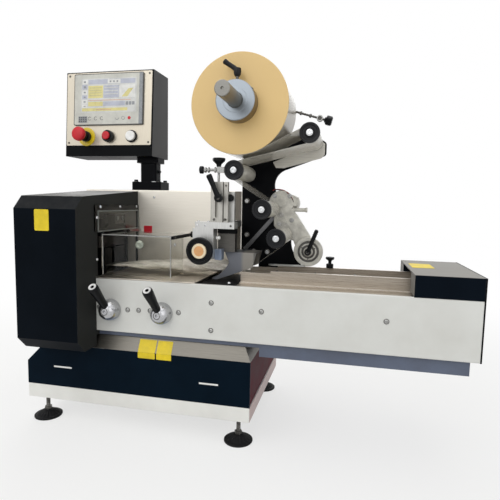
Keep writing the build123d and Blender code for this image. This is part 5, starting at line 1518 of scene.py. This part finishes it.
def makeSlide(look):
    # front leaf with its slot, the wider leaf behind it and the rail beside it
    low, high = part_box("former_slide")
    width = look["leafWidth"]
    half = look["slotHalf"]
    tall = high.z - low.z
    outer = [(0, 0), (width, 0), (width, tall), (0, tall)]
    inner = []
    for start, level in zip((math.pi, 0), look["slotEnds"]):
        for turn in range(9):
            angle = start + math.pi * turn / 8
            inner.append((look["slotX"] + half * math.cos(angle), level + half * math.sin(angle)))
    shell = newShell()
    addSlotted(shell, outer, inner, low, look["leafDepth"], "slideAluminium")
    seam = low.y + look["seam"]
    addBlock(shell, Vector((low.x, seam, low.z)), high, "slideAluminium", 0.0006)
    rail = Vector((low.x + width, low.y, low.z)) + Vector((look["railGap"], look["railGap"], 0))
    addBlock(shell, rail, Vector((high.x, seam, high.z - 0.001)), "slideAluminium", 0.0006)
    for z in (low.z + 0.008, high.z - 0.010):
        addScrew(shell, Vector((rail.x + 0.0060, rail.y, z)), toFront, 0.0030, "oiledSteel", "cap", 0.0018)
    finishShell(shell, "height_slide", "machine", ["former_slide"])


def makeAdjusterFixings(look):
    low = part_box("former_slide")[0]
    shell = newShell()
    for x, forward in look["ledgeScrews"]:
        addScrew(shell, Vector((home.x + x, low.y + forward, low.z)), toTop, 0.0036, "brightSteel", "cap",
                 0.0030)
    for x, z, radius, height, skin in look["faceScrews"]:
        addScrew(shell, spot(x, look["faceY"], z), toFront, radius, skin, height=height)
    tabLow, tabHigh = look["blueTab"]
    addBlock(shell, spot(*tabLow), spot(*tabHigh), "blueTab", 0.0012)
    addLathe(shell, spot(*look["pinPlace"]), toRight, [
        (0, 0), (0.0040, 0), (0.0048, 0.0008), (0.0048, 0.0110), (0.0026, 0.0120), (0, 0.0120)],
        "signalWhite", 32)
    addLathe(shell, spot(*look["columnKnob"]), toFront, [
        (0, 0), (0.0062, 0), (0.0062, 0.0030), (0.0096, 0.0044), (0.0100, 0.0110), (0.0086, 0.0126),
        (0, 0.0130)], "gripBlack", 36, wave=ribbed(0.03, 18, 0.004, 0.012))
    for place in look["postBolts"]:
        addScrew(shell, spot(*place), toFront, 0.0040, "brassPlate", "hex", 0.0030)
    finishShell(shell, "adjuster_fixings", "machine")


def makeSlideLever(look):
    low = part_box("former_slide")[0]
    across, up = look["leverPlace"]
    hub = Vector((low.x + across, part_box("slide_clamp_lever")[1].y, low.z + up))
    shell = newShell()
    addLathe(shell, hub, toFront, [
        (0, 0), (0.0070, 0), (0.0084, 0.0020), (0.0090, 0.0080), (0.0116, 0.0120), (0.0120, 0.0180),
        (0.0112, 0.0235), (0.0080, 0.0262), (0.0052, 0.0262), (0.0046, 0.0246), (0, 0.0246)],
        ["oiledSteel"] * 2 + ["gripBlack"] * 7 + ["oiledSteel"] * 2, 40)
    start = hub - Vector((0, look["leverDepth"], 0))
    reach = Vector(look["leverReach"])
    bend = [start, start + reach * 0.25 + Vector((0, -0.0008, 0)), start + reach * 0.6, start + reach * 0.99]
    addTube(shell, smoothPath(bend, 8), lambda share: 0.0084 - 0.0016 * math.sin(math.pi * share)
            - (0.0024 if share > 0.98 else 0), "gripBlack", 24)
    finishShell(shell, "slide_lock_handle", "slide_lever", ["slide_clamp_lever"])


def makeAdjustingScrews(look):
    # upright screw with its wing knob, and the level one with its knob, nuts and block
    low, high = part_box("former_slide")
    left, right = [corner.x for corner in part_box("former_knobs")]
    cross = Vector((low.x + look["screwX"], low.y + look["screwY"], roundPart("idler_roller_2")[0].z))
    shell = newShell()
    addThread(shell, Vector((cross.x, cross.y, high.z)), cross + Vector((0, 0, look["screwAbove"])), 60,
              0.0035, 0.0004, "zincSteel")
    addLathe(shell, cross, toTop, [
        (0, 0.0080), (0.0060, 0.0080), (0.0068, 0.0140), (0.0090, 0.0170), (0.0158, 0.0232), (0.0170, 0.0262),
        (0.0170, 0.0306), (0.0158, 0.0320), (0.0070, 0.0320), (0.0060, 0.0308), (0, 0.0308)], "gripBlack", 60,
        wave=ribbed(0.05, 6, 0.018))
    knob = Vector((left, cross.y, cross.z))
    end = Vector((right, cross.y, cross.z))
    addThread(shell, knob + Vector((look["rodStart"], 0, 0)), end, 56, 0.0040, 0.0005, "zincSteel")
    addLathe(shell, knob, toRight, [
        (0, 0.0008), (0.0060, 0.0004), (0.0092, 0), (0.0100, 0.0010), (0.0100, 0.0086), (0.0088, 0.0100),
        (0.0050, 0.0106), (0, 0.0106)], "gripBlack", 60, wave=ribbed(0.035, 20, 0.0005, 0.009))
    for x in [left + step for step in look["rodNuts"]] + [right - look["endNut"]]:
        addLathe(shell, Vector((x, cross.y, cross.z)), toRight, nut(0.0076, 0.0050, 0.0006, 0.0006),
                 "zincSteel", 6)
    addBlock(shell, end + Vector((-look["blockWidth"], -0.0075, -0.008)), end + Vector((0, 0.0035, 0.008)),
             "zincSteel", 0.0012)
    finishShell(shell, "adjusting_screws", "machine", ["former_knobs"])


def makeThroat(look):
    # black sheet on the deck under the forming box as painted shade of the opening there, and the guide block
    # below the cross arm
    shell = newShell()
    for low, high, skin, bevel in look["blocks"]:
        addBlock(shell, spot(*low), spot(*high), skin, bevel)
    addScrew(shell, spot(*look["screw"]), toTop, look["screwRadius"], "brightSteel",
             height=look["screwHeight"])
    finishShell(shell, "former_throat_shade_and_guide", "machine")


makeHandwheel(adjusterLook)
makeSlide(adjusterLook)
makeAdjusterFixings(adjusterLook)
makeSlideLever(adjusterLook)
makeAdjustingScrews(adjusterLook)
makeThroat(throatLook)
print("adjuster made")


# Bolts, bars and the lead on the film plate and the feed casting

plateLook = {
    "plateBolts": [(0.371, 0.666), (0.439, 0.508), (0.395, 0.508), (0.372, 0.560)],
    "barFoot": (0.367, 0.514), "barHead": (0.458, 0.618), "barWidth": 0.012,
    "castBolts": [(0.4826, 0.625), (0.4778, 0.5976), (0.515, 0.610), (0.507, 0.683), (0.461, 0.683)],
    "sheet": [(0.4599, 0.7689), (0.4847, 0.7678), (0.5975, 0.7975), (0.6070, 0.8080), (0.6070, 0.8400),
              (0.5960, 0.8500), (0.5700, 0.8300), (0.4985, 0.8050), (0.4500, 0.7862)],
    "castFront": 0.008, "leadRadius": 0.0011, "leadApart": (0.0006, -0.0004, -0.0024),
    "lead": [(0.452, 0.262, 0.700), (0.462, 0.258, 0.7035), (0.476, 0.252, 0.7030), (0.4915, 0.248, 0.6990),
             (0.5060, 0.246, 0.6880), (0.5160, 0.246, 0.6740), (0.5185, 0.249, 0.6640)],
}


def makePlateFixings(look):
    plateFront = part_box("film_support_plate")[0].y
    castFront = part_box("idler_roller_3")[1].y + look["castFront"]
    shell = newShell()
    for x, z in look["plateBolts"]:
        place = Vector((home.x + x, plateFront, z))
        addLathe(shell, place, toFront, [
            (0, 0), (0.0088, 0), (0.0088, 0.0012), (0.0080, 0.0018), (0, 0.0018)], "oiledSteel", 36)
        addScrew(shell, place - Vector((0, 0.0018, 0)), toFront, 0.0060, "brightSteel", "cap", 0.0050)
    for x, z in look["castBolts"]:
        place = Vector((home.x + x, castFront, z))
        addLathe(shell, place, toFront, [(0, 0), (0.0072, 0), (0.0072, 0.0010), (0, 0.0012)], "zincSteel", 32)
        addScrew(shell, place - Vector((0, 0.0010, 0)), toFront, 0.0050, "zincSteel", "cap", 0.0036)
    finishShell(shell, "plate_bolts", "machine")

    foot = Vector(look["barFoot"])
    head = Vector(look["barHead"])
    span = head - foot
    side = Vector((-span.y, span.x)).normalized() * (look["barWidth"] / 2)
    outline = [foot - side, head - side, head + side, foot + side]
    bar = newShell()
    addPrism(bar, [(point.x, point.y) for point in outline], Vector((home.x, plateFront, 0)), toRight, toTop,
             0.0060, "guideBar", 0.0012)
    finishShell(bar, "plate_stiffener", "machine")

    lead = newShell()
    path = smoothPath([spot(*point) for point in look["lead"]], 8)
    addTube(lead, path, look["leadRadius"], "leadRed", 8)
    addTube(lead, [point + Vector(look["leadApart"]) for point in path], look["leadRadius"], "leadBlack", 8)
    finishShell(lead, "sensor_lead", "machine")


def makeArmSheet(look):
    # pale sheet on the front of the plate's arm, under the film
    shell = newShell()
    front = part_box("film_support_plate")[0].y
    addPrism(shell, look["sheet"], Vector((home.x, front, 0)), toRight, toTop, 0.0012, "armSheet", 0.0004)
    finishShell(shell, "arm_pale_sheet", "machine")


makePlateFixings(plateLook)
makeArmSheet(plateLook)
print("plate fixings made")


# Guard: pale rods along the sheet edges as painted edge highlights, its knob and its screws

guardLook = {"edge": 0.0021, "screw": (0.222, 0.030, 0.541), "hingeScrews": (0.016, 0.040),
             "hingeDrop": 0.0048}


def makeGuard(look):
    low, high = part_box("clear_guard")
    size = look["edge"]
    left = low.x + size
    right = high.x - size
    front = low.y + size
    top = high.z - size
    # pale rods along the clear sheet's edges are painted highlights of those edges
    edges = newShell()
    for start, end in (((low.x, front, top), (high.x, front, top)),
                       ((right, low.y + 0.003, top), (right, high.y, top)),
                       ((right, front, low.z), (right, front, top)),
                       ((left, front, low.z), (left, front, top))):
        addTube(edges, between(Vector(start), Vector(end), 12), size * 0.55, "guardEdge", 8)
    finishShell(edges, "guard_edge_highlights", "guard")

    centre, front, back = roundPart("guard_knob")[:3]
    knob = newShell()
    addLathe(knob, atDepth(centre, back), toFront, [
        (0, 0), (0.0070, 0), (0.0062, 0.0018), (0.0054, 0.0050), (0.0064, 0.0068), (0.0108, 0.0084),
        (0.0120, 0.0104), (0.0120, 0.0140), (0.0104, 0.0162), (0.0052, 0.0170), (0.0040, 0.0160),
        (0, 0.0160)], "knobAluminium", 60)
    finishShell(knob, "guard_pull", "guard", ["guard_knob"])

    screws = newShell()
    addScrew(screws, spot(*look["screw"]), toRight, 0.0048, "brightSteel", "cap", 0.0030)
    armLow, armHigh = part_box("guard_arms")
    near, far = look["hingeScrews"]
    for y in (armLow.y + near, armHigh.y - far):
        for x, out in ((armHigh.x, toRight), (armLow.x, toLeft)):
            addScrew(screws, Vector((x, y, high.z - look["hingeDrop"])), out, 0.0030, "oiledSteel",
                     height=0.0016)
    finishShell(screws, "guard_screws", "guard")


makeGuard(guardLook)
print("guard made")


# Window gasket of the housing, and the drive seen through it

windowLook = {
    "rubber": 0.004, "gasketLow": (0.010, 0.571), "gasketHigh": (0.2527, 0.628),
    "shapes": [
        ((-0.020, 0.082, 0.580), (-0.008, 0.122, 0.618), "throatBlack"),
        ((-0.020, 0.124, 0.588), (-0.010, 0.180, 0.6165), "guideDark"),
        ((-0.012, 0.179, 0.588), (-0.008, 0.184, 0.6165), "throatBlack"),
        ((-0.016, 0.062, 0.4700), (-0.008, 0.102, 0.5200), "throatBlack"),
        ((-0.016, 0.118, 0.4700), (-0.008, 0.180, 0.5180), "throatBlack"),
        ((-0.020, 0.040, 0.5220), (-0.014, 0.190, 0.5560), "driveBrown"),
    ],
    "studs": [(0.1364, 0.6045, 0.0078), (0.1694, 0.6036, 0.0070)],
    "bridge": [(0.030, 0.5665), (0.212, 0.5665), (0.176, 0.5890), (0.088, 0.5890)],
}


def makeWindow(look):
    low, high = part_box("housing_window")
    x = high.x - 0.0002
    front = max(low.y, home.y + look["gasketLow"][0])
    bottom = max(low.z, look["gasketLow"][1])
    back = min(high.y, home.y + look["gasketHigh"][0])
    top = min(high.z, look["gasketHigh"][1])
    corners = [Vector((x, y, z)) for y, z in ((front, bottom), (back, bottom), (back, top), (front, top))]
    shell = newShell()
    for start, end in zip(corners, corners[1:] + corners[:1]):
        addTube(shell, between(start, end, 10), look["rubber"] / 2, "gasketGrey", 10)
    finishShell(shell, "window_gasket", "machine")

    inner = newShell()
    for lowCorner, highCorner, skin in look["shapes"]:
        addBlock(inner, spot(*lowCorner), spot(*highCorner), skin, 0.0015)
    for y, z, radius in look["studs"]:
        addLathe(inner, spot(-0.012, y, z), toRight, [
            (0, 0), (radius, 0), (radius, 0.004), (radius * 0.7, 0.0055), (0, 0.0055)], "studGrey", 32)
    addPrism(inner, look["bridge"], Vector((home.x - 0.013, home.y, 0)), toBack, toTop, 0.006,
             "throatBlack", 0.0008)
    finishShell(inner, "window_drive", "machine")


makeWindow(windowLook)
print("window made")


# Springs and bolts of the sealing jaws

jawLook = {"wire": 0.0010, "coils": 7, "height": 0.034, "radius": 0.0048, "springX": -0.028, "foot": 0.470,
           "springInset": 0.050, "boltInset": 0.006, "boltLevels": (0.392, 0.560)}


def makeJawFixings(look):
    low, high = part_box("jaw_frame")
    shell = newShell()
    radius = look["radius"]
    turns = look["coils"] * 16
    for y in (low.y + look["springInset"], high.y - look["springInset"]):
        points = []
        for step in range(turns + 1):
            angle = 2 * math.pi * step / 16
            points.append(Vector((home.x + look["springX"] + radius * math.cos(angle),
                                  y + radius * math.sin(angle),
                                  look["foot"] + look["height"] * step / turns)))
        addTube(shell, points, look["wire"], "brightSteel", 6)
    for y in (low.y + look["boltInset"], high.y - look["boltInset"]):
        for z in look["boltLevels"]:
            addScrew(shell, Vector((high.x, y, z)), toRight, 0.0044, "zincSteel", "cap", 0.0036)
    finishShell(shell, "jaw_springs", "machine")


makeJawFixings(jawLook)
print("jaw fixings made")


# Infeed chain: side plates and rollers along the fixed loop

chainLook = {"pitch": 0.0127, "radius": 0.0318, "plate": 0.0042, "thickness": 0.0011, "half": 0.0053,
             "pinRadius": 0.0018, "pinHalf": 0.0072}


def makeChain(look):
    low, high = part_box("infeed_chain")
    wheelLow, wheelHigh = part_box("chain_sprockets")
    radius = look["radius"]
    centreZ = (wheelLow.z + wheelHigh.z) / 2
    left = wheelLow.x + (wheelHigh.z - wheelLow.z) / 2
    right = wheelHigh.x - (wheelHigh.z - wheelLow.z) / 2
    centreY = (low.y + high.y) / 2
    straight = right - left
    length = 2 * straight + 2 * math.pi * radius
    count = int(length / look["pitch"])

    def along(distance):
        distance %= length
        if distance < straight:
            return Vector((left + distance, centreZ + radius))
        distance -= straight
        if distance < math.pi * radius:
            angle = math.pi / 2 - distance / radius
            return Vector((right + radius * math.cos(angle), centreZ + radius * math.sin(angle)))
        distance -= math.pi * radius
        if distance < straight:
            return Vector((right - distance, centreZ - radius))
        angle = -math.pi / 2 - (distance - straight) / radius
        return Vector((left + radius * math.cos(angle), centreZ + radius * math.sin(angle)))

    shell = newShell()
    for link in range(count):
        start = along(length * link / count)
        end = along(length * (link + 1) / count)
        span = end - start
        heading = span.normalized()
        across = Vector((-heading.y, heading.x))
        offset = look["half"] + (look["thickness"] if link % 2 else 0)
        outline = []
        for point, sign in ((start, -1), (end, 1)):
            for step in range(5):
                angle = math.pi / 2 + math.pi * step / 4
                turn = heading * (sign * math.cos(angle)) + across * (sign * math.sin(angle))
                outline.append(point - turn * look["plate"])
        outline = [(point.x, point.y) for point in outline]
        for side in (-1, 1):
            y = centreY + side * offset + (0 if side > 0 else look["thickness"])
            addPrism(shell, outline, Vector((0, y, 0)), toRight, toTop, look["thickness"], "oiledSteel")
        addLathe(shell, Vector((start.x, centreY - look["pinHalf"], start.y)), toBack,
                 disc(look["pinRadius"], look["pinHalf"] * 2), "brightSteel", 8)
    finishShell(shell, "chain_links", "machine")


# Slotted link of the side guide with its clamping knob

clampLook = {"linkX": 0.508, "link": (0.112, 0.022), "slot": (0.080, 0.0074), "thickness": 0.003,
             "knobX": 0.636, "knobRadius": 0.012, "lowRadius": 0.0106, "ribs": 8}


def makeGuideClamp(look):
    low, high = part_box("guide_clamp")
    middleY = (low.y + high.y) / 2
    outer, inner = [roundedRect(length, width, width / 2 - 0.0001, 8)
                    for length, width in (look["link"], look["slot"])]
    shell = newShell()
    addSlotted(shell, outer, inner, Vector((home.x + look["linkX"], middleY, low.z + look["thickness"])),
               look["thickness"], "brightAluminium", toBack)
    tall = high.z - low.z
    wide = look["knobRadius"]
    foot = look["lowRadius"]
    addLathe(shell, Vector((home.x + look["knobX"], middleY, low.z)), toTop, [
        (0, 0), (foot * 0.94, 0), (foot, 0.0008), (foot, tall * 0.34), (foot * 0.9, tall * 0.38),
        (0.0050, tall * 0.42), (0.0046, tall * 0.55), (0.0054, tall * 0.66), (wide * 0.92, tall * 0.78),
        (wide, tall * 0.82), (wide, tall * 0.95), (wide * 0.94, tall), (wide * 0.4, tall),
        (wide * 0.36, tall - 0.0006), (0, tall - 0.0006)],
        "gripBlack", 64, wave=ribbed(0.05, look["ribs"], tall * 0.77))
    finishShell(shell, "guide_clamp_link", "machine", ["guide_clamp"])


# Cabinet: plain red plate, screws, a dark steel strip on its end corner as painted shade, and the screws of
# the beam's rear and end

cabinetLook = {
    "redPlate": (0.0355, 0.5645, 0.029, 0.027), "bolt": (0.058, 0.672),
    "band": (0.333, 0.3515, 0.500, 0.6952), "cornerShadeOut": 0.0012, "cornerShadeIn": 0.0030, "screwRadius": 0.0040,
    "screwCount": 5, "screwInset": (0.020, 0.018), "rearShares": (0.05, 0.35, 0.65, 0.95), "rearDrop": 0.020,
    "endInset": 0.016, "endSink": 0.0024,
}


def makeCabinetTrim(look):
    low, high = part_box("rear_cabinet")
    x, z, width, height = look["redPlate"]
    plate = newShell()
    addPlate(plate, Vector((home.x + x, low.y, z)), toTop, width, height, "labelRed", 0.0006, 0.0006)
    finishShell(plate, "blank_red_plate", "machine")

    trim = newShell()
    x, z = look["bolt"]
    addScrew(trim, Vector((home.x + x, low.y, z)), toFront, 0.0042, "brightSteel")
    places = []
    across, up = look["screwInset"]
    for step in range(look["screwCount"]):
        x = low.x + across + (high.x - low.x - 2 * across) * step / (look["screwCount"] - 1)
        places += [(Vector((x, high.y, z)), toBack) for z in (low.z + up, high.z - up)]
    rearLow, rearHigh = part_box("beam_rear_panel")
    for share in look["rearShares"]:
        x = rearLow.x + (rearHigh.x - rearLow.x) * share
        places.append((Vector((x, rearHigh.y, rearHigh.z - look["rearDrop"])), toBack))
    endLow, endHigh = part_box("beam_end_plate")
    inset = look["endInset"]
    for y in (endLow.y + inset, endHigh.y - inset):
        places += [(Vector((endHigh.x - look["endSink"], y, z)), toRight)
                   for z in (endLow.z + inset, endHigh.z - inset)]
    for place, out in places:
        addScrew(trim, place, out, look["screwRadius"], "zincSteel")
    finishShell(trim, "cabinet_screws", "machine")

    # dark steel strip on the cabinet's end corner; its dark tone is painted shade on that corner
    band = newShell()
    left, right, bottom, top = look["band"]
    addBlock(band, Vector((home.x + left, low.y - look["cornerShadeOut"], bottom)),
             Vector((home.x + right, low.y + look["cornerShadeIn"], top)), "bandSteel", 0.0004)
    finishShell(band, "cabinet_corner_shade", "machine")


makeChain(chainLook)
makeGuideClamp(clampLook)
makeCabinetTrim(cabinetLook)
print("chain and cabinet trim made")
